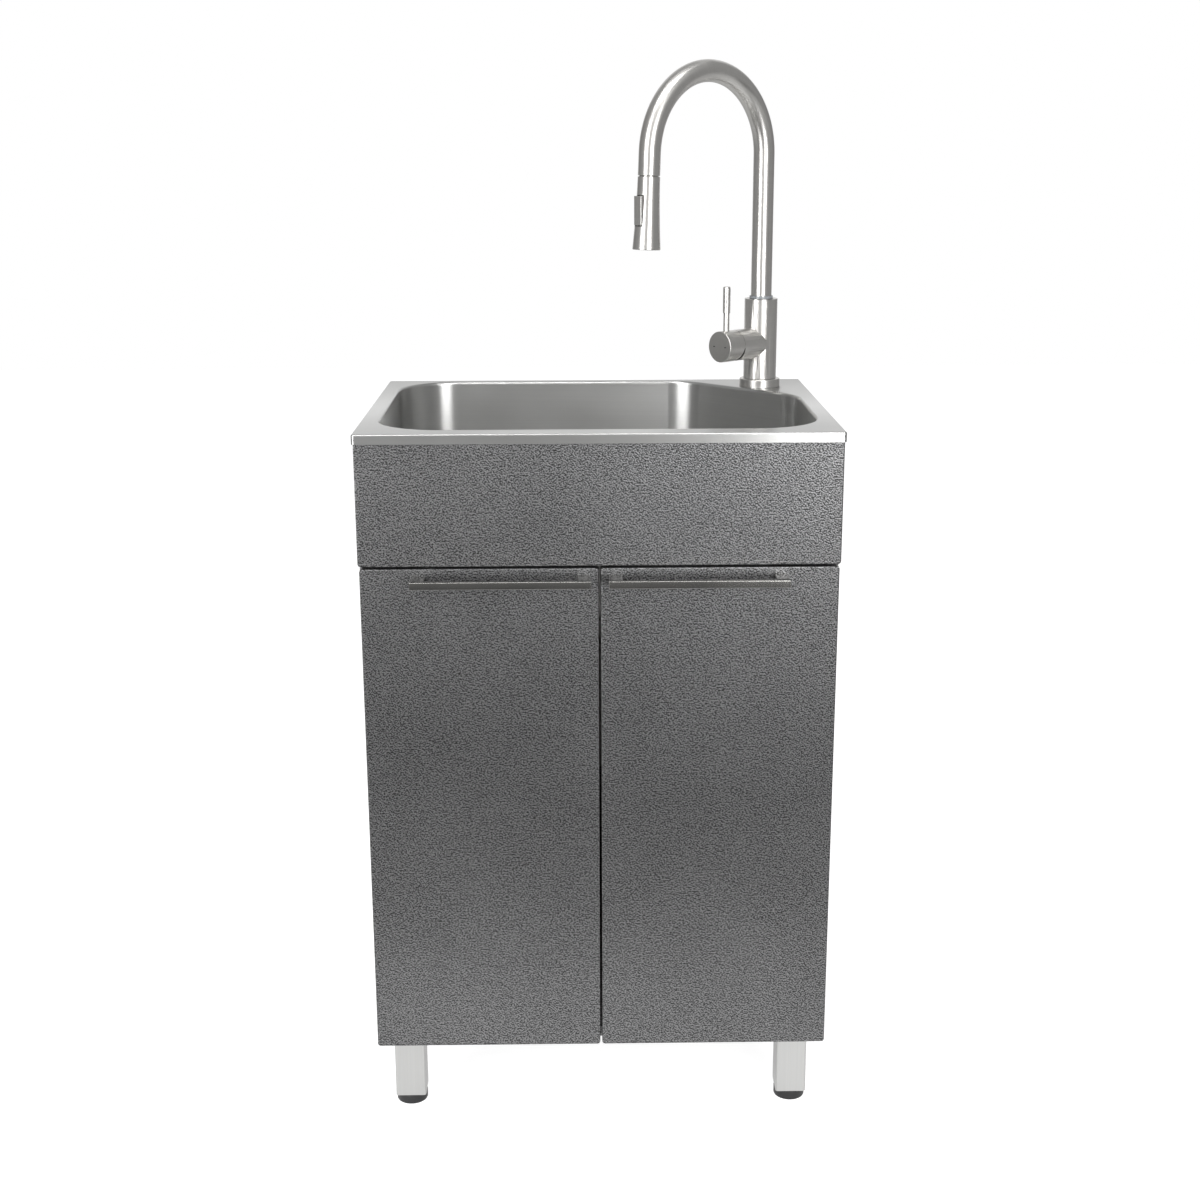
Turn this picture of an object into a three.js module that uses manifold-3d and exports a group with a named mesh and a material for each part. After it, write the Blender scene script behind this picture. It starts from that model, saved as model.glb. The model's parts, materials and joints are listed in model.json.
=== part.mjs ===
/**
 * Utility laundry sink: a pressed steel bowl on a two-door cabinet, with a pull-down mixer tap.
 *
 * Millimetres. +Z is up, +Y points to the wall and +X to the right of a person who faces the doors.
 * The origin is on the floor, under the middle of the whole outline.
 */
import * as THREE from 'three';
import { RoundedBoxGeometry } from 'three/addons/geometries/RoundedBoxGeometry.js';
import { mergeVertices } from 'three/addons/utils/BufferGeometryUtils.js';
import Module from 'manifold-3d';

const wasm = await Module();
wasm.setup();

// ---------------------------------------------------------------- driving dimensions

const GAP = 0.3; // between pieces that touch
const WELD = 1e-3; // points nearer than this are one point
const ROUND_SIDES = 20; // facets round a bar or a turned piece
const PIPE_SIDES = 14; // facets round a waste pipe

// Deck and bowl
const DECK_WIDTH = 560;
const DECK_DEPTH = 440;
const DECK_TOP = 870;
const SHEET = 1.5; // pressed steel
const LIP_HEIGHT = 11.5;
const LIP_BEND = 2;
const DECK_CORNER = 3.5;
const BOWL_HALF_WIDTH = 259;
const BOWL_FRONT_STRIP = 33;
const BOWL_BACK_STRIP = 16;
const BOWL_CUT_CORNER = 135; // leg of the 45 degree corner that leaves room for the tap
const BOWL_FLOOR = 632;
const BOWL_ROLL = 4; // radius of the edge between deck and bowl
const BOWL_FILLET = 40;
const BOWL_DRAFT = Math.tan(THREE.MathUtils.degToRad(1.5));

// Cabinet
const HANDLE_REACH = 32; // front of the bar to the face of the door
const BOARD = 15;
const DOOR_THICKNESS = 16;
const DOOR_STAND_OFF = 3.5; // between a door's back and the side panel's front edge
const CABINET_BOTTOM = 105;
const DOOR_TOP = 713.5;
const FASCIA_BOTTOM = 716;
const DOOR_SIDE_SET_IN = 1.5; // doors are a little narrower than the fascia
const DOOR_CENTRE_GAP = 2.4;
const FACE_CORNER = 3;
const FACE_EDGE = 1.5;
const RAIL_THICKNESS = 12;
const RAIL_HEIGHT = 100;
const FRONT_RAIL_THICKNESS = 10;
const FRONT_RAIL_HEIGHT = 60;
const BACK_PANEL_HEIGHT = 300; // half-height back, with room above it for the pipes

// Legs
const LEG_SIZE = 38;
const LEG_WALL = 1.5;
const LEG_BOTTOM = 12.7;
const LEG_X = 242;
const LEG_INSET = 61; // from the deck's front or back edge to the leg's middle
const GLIDE_RADIUS = 19.4;

// Handles
const HANDLE_LENGTH = 207;
const HANDLE_HEIGHT = 9;
const HANDLE_BAR = 8;
const HANDLE_POST = 16;
const HANDLE_FROM_CENTRE = 10;
const HANDLE_Z = 701;

// Concealed hinges, measured from the pin
const HINGE_HEIGHTS = [205, 600];
const PIN_FROM_DOOR_EDGE = 8.5;
const PIN_DEPTH = 7.5; // into the door, from its back face
const CUP_RADIUS = 17.2;
const CUP_DEPTH = 11.2;
const CUP_FROM_PIN = 13;
const PIN_RADIUS = 1.4;
const KNUCKLE_RADIUS = 2.4;
const ARM_REACH = 15.5;
const ARM_STRIP = 2.5;
const ARM_HALF_HEIGHT = 5.5;

// Drain
const DRAIN_Y = 23;
const DRAIN_SEAT = 625; // floor of the pressed recess
const DRAIN_RECESS = 58;
const DRAIN_HOLE = 45;
const STRAINER_TAIL = 21.4; // radius of the strainer's threaded tail
const PIPE = 19; // outer radius of the waste pipe
const PIPE_BORE = 17.4;
const TRAP_PIPE = 21.3;
const SLIP = 0.6; // between a slip nut and a pipe
const TRAP_BORE = 19.8;
const TRAP_BEND = 45;
const TRAP_LOW = 440; // height of the bend's centre
const TRAP_ARM_Z = 525;

// Tap, heights above the deck
const TAP_X = 219;
const TAP_Y = 169;
const SPOUT_TURN = 48.9; // degrees from the front towards the left
const FLANGE_RADIUS = 26.7;
const FLANGE_HEIGHT = 11;
const BODY_RADIUS = 21.6;
const BODY_TOP = 115.4;
const SPOUT_RADIUS = 13.6;
const SPOUT_BORE = 12.1;
const SPOUT_START = 92.5;
const ARCH_HEIGHT = 298.9; // centre of the bend
const ARCH_RADIUS = 101.7;
const ARCH_ANGLE = 177.47;
const SPOUT_END = 27.4; // straight length after the bend
const HOSE_RADIUS = 6.5;
const SHANK_RADIUS = 16.5;
const SHANK_BORE = 12.5;
const SHANK_LENGTH = 55;

// Valve, measured along its barrel from the tap's axis
const VALVE_Z = 57.7;
const BARREL_RADIUS = 20;
const BARREL_END = 49;
const BARREL_BORE = 16.8;
const BARREL_FLOOR = 24;
const LEVER_PIVOT = 46;
const CAP_START = 49.5;
const CAP_END = 77;
const CAP_WALL = 2.6;
const CAP_WEDGE = 0.27; // slope of the relief under the cap's rear edge
const ROD_ALONG = 65;
const ROD_TOP = 76.6;
const ROD_STEP = 43.3;

// Spray head, measured down from the seam with the spout
const HEAD_LENGTH = 88.5;
const HEAD_TOP_RADIUS = 13.8;
const HEAD_WAIST_RADIUS = 14; // the head stays slim down to its waist, then flares
const HEAD_WAIST = 22;
const HEAD_FLARE_RADIUS = 15.9;
const HEAD_FLARE = 69;
const HEAD_END_RADIUS = 17.4;
const BUTTON_TOP = 24.4;
const BUTTON_LENGTH = 35;
const BUTTON_HALF_WIDTH = 6.3;
const BUTTON_INNER = 11.2;
const BUTTON_OUTER = 17.3;
const BUTTON_LEAN = 2.8; // degrees, top outwards

// ---------------------------------------------------------------- derived places

const PANEL_INSET = SHEET + GAP; // the cabinet stands just inside the folded lip
const OUTLINE_DEPTH = DECK_DEPTH + HANDLE_REACH - PANEL_INSET;
const HANDLE_FRONT = -OUTLINE_DEPTH / 2;
const FACE_Y = HANDLE_FRONT + HANDLE_REACH;
const DECK_FRONT = FACE_Y - PANEL_INSET;
const DECK_BACK = DECK_FRONT + DECK_DEPTH;
const CABINET_HALF = DECK_WIDTH / 2 - PANEL_INSET;
const CABINET_BACK = DECK_BACK - PANEL_INSET;
const CABINET_TOP = DECK_TOP - SHEET - GAP;
const INSIDE_HALF = CABINET_HALF - BOARD;
const DOOR_BACK = FACE_Y + DOOR_THICKNESS;
const PANEL_FRONT = DOOR_BACK + DOOR_STAND_OFF;
const DOOR_OUTER = CABINET_HALF - DOOR_SIDE_SET_IN;
const PIN_X = DOOR_OUTER - PIN_FROM_DOOR_EDGE;
const PIN_Y = DOOR_BACK - PIN_DEPTH;
const BOWL_FRONT = DECK_FRONT + BOWL_FRONT_STRIP;
const BOWL_BACK = DECK_BACK - BOWL_BACK_STRIP;

const DECK_OUTLINE = [
  [-DECK_WIDTH / 2, DECK_FRONT, DECK_CORNER],
  [DECK_WIDTH / 2, DECK_FRONT, DECK_CORNER],
  [DECK_WIDTH / 2, DECK_BACK, DECK_CORNER],
  [-DECK_WIDTH / 2, DECK_BACK, DECK_CORNER],
];
const BOWL_OUTLINE = [
  [-BOWL_HALF_WIDTH, BOWL_FRONT, 78],
  [BOWL_HALF_WIDTH, BOWL_FRONT, 78],
  [BOWL_HALF_WIDTH, BOWL_BACK - BOWL_CUT_CORNER, 70],
  [BOWL_HALF_WIDTH - BOWL_CUT_CORNER, BOWL_BACK, 60],
  [-BOWL_HALF_WIDTH, BOWL_BACK, 75],
];

// ---------------------------------------------------------------- finishes

const FINISHES = {
  pewter: { color: 0x6c6d70, roughness: 0.55, metalness: 0.5 },
  steel: { color: 0xb9b9b6, roughness: 0.32, metalness: 0.95 },
  bowlSteel: { color: 0xa9a8a4, roughness: 0.38, metalness: 0.95 },
  zinc: { color: 0x9ea1a4, roughness: 0.4, metalness: 0.9 },
  blackPlastic: { color: 0x1b1b1c, roughness: 0.6, metalness: 0 },
  whitePlastic: { color: 0xe6e6e2, roughness: 0.45, metalness: 0 },
  rubber: { color: 0x232323, roughness: 0.85, metalness: 0 },
  greyPlastic: { color: 0x55585b, roughness: 0.6, metalness: 0 },
};

/** A named piece with a material of its own. */
function piece(name, geometry, finish) {
  const mesh = new THREE.Mesh(geometry, new THREE.MeshStandardMaterial(FINISHES[finish]));
  mesh.name = name;
  return mesh;
}

/** A group that holds the given pieces. */
function assembly(...members) {
  return new THREE.Group().add(...members);
}

// ---------------------------------------------------------------- solids

/** Six times the volume that a welded geometry encloses; negative when it is inside out. */
function signedVolume(geometry) {
  const points = geometry.getAttribute('position');
  const corners = geometry.getIndex().array;
  const at = (i) => new THREE.Vector3().fromBufferAttribute(points, corners[i]);
  let total = 0;
  for (let i = 0; i < corners.length; i += 3) {
    total += at(i).dot(at(i + 1).cross(at(i + 2)));
  }
  return total;
}

/** Shares the points of a closed geometry, drops collapsed faces and turns the faces outwards. */
function weld(geometry) {
  const bare = new THREE.BufferGeometry();
  bare.setAttribute('position', geometry.getAttribute('position'));
  bare.setIndex(geometry.getIndex());
  const welded = mergeVertices(bare, WELD);
  const corners = welded.getIndex().array;
  const kept = [];
  for (let i = 0; i < corners.length; i += 3) {
    const [a, b, c] = corners.slice(i, i + 3);
    if (a !== b && b !== c && c !== a) {
      kept.push([a, b, c]);
    }
  }
  welded.setIndex(kept.flat());
  if (signedVolume(welded) < 0) {
    welded.setIndex(kept.flatMap(([a, b, c]) => [a, c, b]));
  }
  return welded;
}

/** The solid that a closed geometry bounds. */
function solid(geometry) {
  const welded = weld(geometry);
  return new wasm.Manifold(new wasm.Mesh({
    numProp: 3,
    vertProperties: new Float32Array(welded.getAttribute('position').array),
    triVerts: new Uint32Array(welded.getIndex().array),
  }));
}

/** The geometry that bounds a solid. */
function surface(body) {
  const mesh = body.getMesh();
  const geometry = new THREE.BufferGeometry();
  geometry.setAttribute('position', new THREE.BufferAttribute(mesh.vertProperties, 3));
  geometry.setIndex(new THREE.BufferAttribute(mesh.triVerts, 1));
  return geometry;
}

/** Shapes made one. */
function join(...shapes) {
  return surface(shapes.map(solid).reduce((whole, next) => whole.add(next)));
}

/** A shape less the tools. */
function cut(shape, ...tools) {
  return surface(tools.map(solid).reduce((left, tool) => left.subtract(tool), solid(shape)));
}

/** What two shapes have in common. */
function shared(one, other) {
  return surface(solid(one).intersect(solid(other)));
}

/** A round bar along +Z. */
function rod(radius, low, high, sides = ROUND_SIDES) {
  return new THREE.CylinderGeometry(radius, radius, high - low, sides)
    .rotateX(Math.PI / 2)
    .translate(0, 0, (low + high) / 2);
}

/** A piece turned about +Z from a closed profile of [radius, height] points. */
function turned(profile, sides = ROUND_SIDES) {
  const outline = [...profile, profile[0]].map(([radius, height]) => new THREE.Vector2(radius, height));
  return weld(new THREE.LatheGeometry(outline, sides).rotateX(Math.PI / 2));
}

/** A flat ring about +Z. */
function ring(outer, inner, low, high, sides = ROUND_SIDES) {
  return turned([[inner, low], [outer, low], [outer, high], [inner, high]], sides);
}

/** A plain block between two opposite corners. */
function block([x0, y0, z0], [x1, y1, z1]) {
  return new THREE.BoxGeometry(x1 - x0, y1 - y0, z1 - z0)
    .translate((x0 + x1) / 2, (y0 + y1) / 2, (z0 + z1) / 2);
}

/** A board with softened edges between two opposite corners. */
function board([x0, y0, z0], [x1, y1, z1], edge = 1.5) {
  return weld(new RoundedBoxGeometry(x1 - x0, y1 - y0, z1 - z0, 1, edge))
    .translate((x0 + x1) / 2, (y0 + y1) / 2, (z0 + z1) / 2);
}

/** Extrudes [x, y] points upwards from height low to height high. */
function upright(points, low, high) {
  const outline = new THREE.Shape(points.map(([x, y]) => new THREE.Vector2(x, y)));
  return new THREE.ExtrudeGeometry(outline, { depth: high - low, bevelEnabled: false }).translate(0, 0, low);
}

/** Extrudes [x, z] points along Y between two places. */
function sideways(points, near, far) {
  return upright(points, -far, -near).rotateX(Math.PI / 2);
}

/**
 * Points round a convex outline with corners [x, y, radius], counter-clockwise.
 * An inset moves every side inwards and tightens the corners with it.
 */
function roundedOutline(corners, inset = 0, steps = 6, tightest = 0.1) {
  return corners.flatMap(([x, y, radius], i) => {
    const before = corners.at(i - 1);
    const after = corners[(i + 1) % corners.length];
    const inFromLast = new THREE.Vector2(before[1] - y, x - before[0]).normalize();
    const inFromNext = new THREE.Vector2(y - after[1], after[0] - x).normalize();
    const bend = Math.max(radius - inset, tightest);
    const reach = (inset + bend) / (1 + inFromLast.dot(inFromNext));
    const centre = inFromLast.clone().add(inFromNext).multiplyScalar(reach).add(new THREE.Vector2(x, y));
    const start = inFromLast.angle() + Math.PI;
    const sweep = Math.atan2(inFromLast.cross(inFromNext), inFromLast.dot(inFromNext));
    return Array.from({ length: steps + 1 }, (_, k) => {
      const angle = start + (sweep * k) / steps;
      return new THREE.Vector2(centre.x + bend * Math.cos(angle), centre.y + bend * Math.sin(angle));
    });
  });
}

/** Lifts plan points to one height. */
const lifted = (points, height) => points.map(({ x, y }) => new THREE.Vector3(x, y, height));

/** A horizontal circle of points, counter-clockwise. */
function circle(x, y, radius, height, sides = ROUND_SIDES) {
  return Array.from({ length: sides }, (_, k) => {
    const angle = (2 * Math.PI * k) / sides;
    return new THREE.Vector3(x + radius * Math.cos(angle), y + radius * Math.sin(angle), height);
  });
}

/** A closed surface built up from rings of points. */
class Skin {
  corners = [];

  /** Joins rings of equal count, each to the next. */
  bands(...rings) {
    rings.slice(1).forEach((upper, n) => {
      const lower = rings[n];
      lower.forEach((point, i) => {
        const next = (i + 1) % lower.length;
        this.corners.push(point, lower[next], upper[next], point, upper[next], upper[i]);
      });
    });
  }

  /** Fills the plan area inside an outline and outside its holes. */
  web(outline, holes, facesUp) {
    const points = [outline, ...holes].flat();
    for (const [a, b, c] of THREE.ShapeUtils.triangulateShape(outline, holes)) {
      const isLeft = THREE.ShapeUtils.area([points[a], points[b], points[c]]) > 0;
      const [second, third] = isLeft === facesUp ? [b, c] : [c, b];
      this.corners.push(points[a], points[second], points[third]);
    }
  }

  geometry() {
    return weld(new THREE.BufferGeometry().setFromPoints(this.corners));
  }
}

/** A pipe along a route in one plane; `across` is that plane's normal. A bore of 0 makes a solid bar. */
function pipe(route, across, outer, bore, sides) {
  const loop = (i, radius) => {
    const ahead = route[Math.min(i + 1, route.length - 1)].clone().sub(route[Math.max(i - 1, 0)]).normalize();
    const inPlane = across.clone().cross(ahead);
    return Array.from({ length: sides }, (_, k) => {
      const angle = (2 * Math.PI * k) / sides;
      return route[i].clone()
        .addScaledVector(across, radius * Math.cos(angle))
        .addScaledVector(inPlane, radius * Math.sin(angle));
    });
  };
  const outside = route.map((_, i) => loop(i, outer));
  const inside = route.map((_, i) => loop(i, bore)).reverse();
  const skin = new Skin();
  skin.bands(...outside, ...inside, outside[0]);
  return skin.geometry();
}

/** Points of an arc about a centre, from angles in degrees; `first` and `second` span its plane. */
function arc(centre, radius, first, second, from, to, steps) {
  return Array.from({ length: steps + 1 }, (_, k) => {
    const angle = THREE.MathUtils.degToRad(from + ((to - from) * k) / steps);
    return centre.clone()
      .addScaledVector(first, radius * Math.cos(angle))
      .addScaledVector(second, radius * Math.sin(angle));
  });
}

const X = new THREE.Vector3(1, 0, 0);
const Y = new THREE.Vector3(0, 1, 0);
const Z = new THREE.Vector3(0, 0, 1);

// ---------------------------------------------------------------- cabinet

/** The boards of the cabinet, open at the back for the pipes. */
function cabinet() {
  const side = INSIDE_HALF - GAP; // rails and floor fit between the side panels
  const backPanelTop = CABINET_BOTTOM + BOARD + BACK_PANEL_HEIGHT;
  return assembly(
    piece('left_side_panel', board(
      [-CABINET_HALF, PANEL_FRONT, CABINET_BOTTOM],
      [-INSIDE_HALF, CABINET_BACK, CABINET_TOP],
    ), 'pewter'),
    piece('right_side_panel', board(
      [INSIDE_HALF, PANEL_FRONT, CABINET_BOTTOM],
      [CABINET_HALF, CABINET_BACK, CABINET_TOP],
    ), 'pewter'),
    piece('bottom_panel', board(
      [-side, PANEL_FRONT, CABINET_BOTTOM],
      [side, CABINET_BACK, CABINET_BOTTOM + BOARD],
    ), 'pewter'),
    piece('fascia_panel', faceBoard(-CABINET_HALF, CABINET_HALF, FASCIA_BOTTOM, CABINET_TOP), 'pewter'),
    piece('front_rail', board(
      [-side, DOOR_BACK + GAP, FASCIA_BOTTOM],
      [side, DOOR_BACK + GAP + FRONT_RAIL_THICKNESS, FASCIA_BOTTOM + FRONT_RAIL_HEIGHT],
    ), 'pewter'),
    piece('upper_back_rail', board(
      [-side, CABINET_BACK - RAIL_THICKNESS, CABINET_TOP - RAIL_HEIGHT],
      [side, CABINET_BACK, CABINET_TOP],
    ), 'pewter'),
    piece('lower_back_panel', board(
      [-side, CABINET_BACK - RAIL_THICKNESS, CABINET_BOTTOM + BOARD + GAP],
      [side, CABINET_BACK, backPanelTop],
    ), 'pewter'),
  );
}

/** A board of the front face, with rounded corners and softened edges. */
function faceBoard(left, right, low, high) {
  const corners = [[left, low], [right, low], [right, high], [left, high]];
  const outline = new THREE.Shape(roundedOutline(corners.map((corner) => [...corner, FACE_CORNER]), 0, 2));
  return new THREE.ExtrudeGeometry(outline, {
    depth: DOOR_THICKNESS - 2 * FACE_EDGE,
    bevelThickness: FACE_EDGE,
    bevelSize: FACE_EDGE,
    bevelOffset: -FACE_EDGE,
    bevelSegments: 2,
  }).rotateX(Math.PI / 2).translate(0, DOOR_BACK - FACE_EDGE, 0);
}

/** A square tube leg with its screw plate, and the glide plugged into its foot. */
function leg(place, x, y) {
  const half = LEG_SIZE / 2;
  const square = (size, radius) => roundedOutline([
    [-size, -size, radius], [size, -size, radius], [size, size, radius], [-size, size, radius],
  ], 0, 3);
  const top = CABINET_BOTTOM - GAP;
  const plate = 3;
  const tube = cut(
    upright(square(half, 3).map((point) => [point.x, point.y]), LEG_BOTTOM, top - plate / 2),
    upright(square(half - LEG_WALL, 1.5).map((point) => [point.x, point.y]), LEG_BOTTOM - 1, top - plate),
  );
  const screwPlate = block([-30, -30, top - plate], [30, 30, top]);
  const plug = half - LEG_WALL - GAP;
  const glide = turned([
    [0, 0], [GLIDE_RADIUS - 1.3, 0], [GLIDE_RADIUS, 1.6], [GLIDE_RADIUS, LEG_BOTTOM - GAP],
    [plug, LEG_BOTTOM - GAP], [plug, LEG_BOTTOM + 15], [0, LEG_BOTTOM + 15],
  ]);
  const group = assembly(
    piece(`${place}_leg`, join(tube, screwPlate), 'steel'),
    piece(`${place}_glide`, glide, 'blackPlastic'),
  );
  group.position.set(x, y, 0);
  return group;
}

function legs() {
  const front = DECK_FRONT + LEG_INSET;
  const back = DECK_BACK - LEG_INSET;
  return assembly(
    leg('front_left', -LEG_X, front),
    leg('front_right', LEG_X, front),
    leg('back_left', -LEG_X, back),
    leg('back_right', LEG_X, back),
  );
}

// ---------------------------------------------------------------- doors and hinges

/** A door with the blind holes for its two hinge cups; `side` is -1 for the left door. */
function door(side) {
  const edges = [side * DOOR_OUTER, side * DOOR_CENTRE_GAP / 2].sort((a, b) => a - b);
  const panel = faceBoard(edges[0], edges[1], CABINET_BOTTOM, DOOR_TOP);
  const bores = HINGE_HEIGHTS.map((height) => rod(CUP_RADIUS + GAP, 0, CUP_DEPTH + GAP + 1)
    .rotateX(Math.PI / 2)
    .translate(side * (PIN_X - CUP_FROM_PIN), DOOR_BACK + 1, height));
  return cut(panel, ...bores);
}

/** A slim bar on two square posts, drawn in plan. */
function handle(side) {
  const near = HANDLE_FROM_CENTRE;
  const far = HANDLE_FROM_CENTRE + HANDLE_LENGTH;
  const back = FACE_Y - GAP;
  const bar = HANDLE_FRONT + HANDLE_BAR;
  const soft = 1;
  const plan = [
    [near, back], [near, HANDLE_FRONT + soft], [near + soft, HANDLE_FRONT],
    [far - soft, HANDLE_FRONT], [far, HANDLE_FRONT + soft], [far, back],
    [far - HANDLE_POST, back], [far - HANDLE_POST, bar],
    [near + HANDLE_POST, bar], [near + HANDLE_POST, back],
  ];
  const low = HANDLE_Z - HANDLE_HEIGHT / 2;
  return upright(plan.map(([x, y]) => [side * x, y]), low, low + HANDLE_HEIGHT);
}

/**
 * A pressed hinge cup with its screw flange, the two cheeks that hold the pin and the arm's notch.
 * Drawn with the pin's line at x = 0 and with z as the depth below the door's back face.
 */
function hingeCup() {
  const flangeTop = -1.5;
  const sheet = 1;
  const middle = ([x, y, z]) => [x + CUP_FROM_PIN, y, z];
  const wall = rod(CUP_RADIUS, flangeTop, CUP_DEPTH, 16).translate(CUP_FROM_PIN, 0, 0);
  const hollow = rod(CUP_RADIUS - sheet, flangeTop - 1, CUP_DEPTH - sheet, 16).translate(CUP_FROM_PIN, 0, 0);
  const flange = block(middle([-9, -26, flangeTop]), middle([9, 26, -GAP]));
  const shell = cut(join(wall, flange), hollow);
  const cheeks = [-1, 1].map((end) => block(
    [-4.4, Math.min(end * 6.2, end * 8), 3.6],
    [3.2, Math.max(end * 6.2, end * 8), CUP_DEPTH - sheet / 2],
  ));
  const bolt = rod(PIN_RADIUS + GAP, -10, 10, 12).rotateX(Math.PI / 2).translate(0, 0, PIN_DEPTH);
  const notch = block([-6, -6, flangeTop - 1], [0, 6, CUP_DEPTH - sheet]);
  return cut(join(shell, ...cheeks.map((cheek) => shared(cheek, wall))), bolt, notch);
}

/** The arm from the pin round the panel's edge to its mounting plate, drawn about the pin in plan. */
function hingeArm() {
  const half = ARM_STRIP / 2;
  const reachBack = 55;
  const plateNear = 19;
  const plateFar = 57;
  const panelFace = PIN_X - INSIDE_HALF + GAP;
  const strip = upright([
    [0, -half], [ARM_REACH, -half], [ARM_REACH, reachBack],
    [ARM_REACH - ARM_STRIP, reachBack], [ARM_REACH - ARM_STRIP, half], [0, half],
  ], -ARM_HALF_HEIGHT, ARM_HALF_HEIGHT);
  const knuckle = rod(KNUCKLE_RADIUS, -ARM_HALF_HEIGHT, ARM_HALF_HEIGHT, 12);
  const saddle = block([panelFace, plateNear + 3, -7], [ARM_REACH - 0.5, plateFar - 3, 7]);
  const plate = block([panelFace, plateNear, -16], [panelFace + 2.5, plateFar, 16]);
  const bore = rod(PIN_RADIUS + GAP, -10, 10, 12);
  return cut(join(strip, knuckle, saddle, plate), bore);
}

/** One concealed hinge of the left or right door. */
function hinge(side, level, height) {
  const hand = side < 0 ? 'left' : 'right';
  const pinHalf = 8;
  const mirrored = (geometry) => weld(geometry.scale(-side, 1, 1));
  const cup = hingeCup().rotateX(Math.PI / 2).translate(0, PIN_DEPTH, 0);
  const group = assembly(
    piece(`${hand}_${level}_hinge_cup`, mirrored(cup), 'zinc'),
    piece(`${hand}_${level}_hinge_arm`, mirrored(hingeArm()), 'zinc'),
    piece(`${hand}_${level}_hinge_pin`, rod(PIN_RADIUS, -pinHalf, pinHalf, 12), 'steel'),
  );
  group.position.set(side * PIN_X, PIN_Y, height);
  return group;
}

function doors() {
  const [lower, upper] = HINGE_HEIGHTS;
  return assembly(
    piece('left_door', door(-1), 'pewter'),
    piece('right_door', door(1), 'pewter'),
    piece('left_handle', handle(-1), 'steel'),
    piece('right_handle', handle(1), 'steel'),
    hinge(-1, 'lower', lower),
    hinge(-1, 'upper', upper),
    hinge(1, 'lower', lower),
    hinge(1, 'upper', upper),
  );
}

// ---------------------------------------------------------------- sink

/** Quarter-turn samples: sine and cosine pairs from 0 to 90 degrees. */
function quarter(steps) {
  return Array.from({ length: steps + 1 }, (_, k) => {
    const angle = (Math.PI / 2) * (k / steps);
    return { sin: Math.sin(angle), cos: Math.cos(angle) };
  });
}

/** Rings of the folded lip, from its free edge up to the deck; `depth` is how far into the sheet. */
function lipRings(depth) {
  const lipBottom = lifted(roundedOutline(DECK_OUTLINE, depth, 4), DECK_TOP - LIP_HEIGHT);
  const bend = LIP_BEND - depth;
  const turns = quarter(3).map(({ sin, cos }) => lifted(
    roundedOutline(DECK_OUTLINE, LIP_BEND - bend * cos, 4),
    DECK_TOP - LIP_BEND + bend * sin,
  ));
  return [lipBottom, ...turns];
}

/** Rings of the bowl, from the deck down to the edge of its floor; `depth` is how far into the sheet. */
function bowlRings(depth) {
  const wallTop = DECK_TOP - BOWL_ROLL;
  const wallFoot = BOWL_FLOOR + BOWL_FILLET;
  const footInset = (wallTop - wallFoot) * BOWL_DRAFT + BOWL_FILLET;
  const roll = BOWL_ROLL - depth;
  const fillet = BOWL_FILLET + depth;
  const edge = quarter(4).map(({ sin, cos }) => lifted(
    roundedOutline(BOWL_OUTLINE, -BOWL_ROLL + roll * sin),
    wallTop + roll * cos,
  ));
  const foot = quarter(5).map(({ sin, cos }) => lifted(
    roundedOutline(BOWL_OUTLINE, footInset - fillet * cos),
    wallFoot - fillet * sin,
  ));
  return [...edge, ...foot];
}

/** The whole sink: one sheet folded, rolled and drawn, with the tap hole and the drain hole. */
function sinkSheet() {
  const skin = new Skin();
  const sides = 32;
  const drain = (radius, height) => circle(0, DRAIN_Y, radius, height, sides);
  const tapHole = (height) => circle(TAP_X, TAP_Y, SHANK_RADIUS + 1, height, 20);

  const lip = lipRings(0);
  const lipInside = lipRings(SHEET).reverse();
  const bowl = bowlRings(0);
  const bowlOutside = bowlRings(SHEET).reverse();
  const recess = [
    drain(DRAIN_RECESS + 3, DRAIN_SEAT + 3),
    drain(DRAIN_RECESS, DRAIN_SEAT),
    drain(DRAIN_HOLE, DRAIN_SEAT),
    drain(DRAIN_HOLE, DRAIN_SEAT - SHEET),
    drain(DRAIN_RECESS + SHEET, DRAIN_SEAT - SHEET),
    drain(DRAIN_RECESS + 3 + SHEET, DRAIN_SEAT + 3 - SHEET),
  ];

  skin.bands(...lip);
  skin.web(lip.at(-1), [bowl[0], tapHole(DECK_TOP)], true);
  skin.bands(tapHole(DECK_TOP), tapHole(DECK_TOP - SHEET));
  skin.bands(...bowl);
  skin.web(bowl.at(-1), [recess[0]], true);
  skin.bands(...recess);
  skin.web(bowlOutside[0], [recess.at(-1)], false);
  skin.bands(...bowlOutside);
  skin.web(lipInside[0], [bowlOutside.at(-1), tapHole(DECK_TOP - SHEET)], false);
  skin.bands(...lipInside, lip[0]);
  return skin.geometry();
}

// ---------------------------------------------------------------- drain

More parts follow.
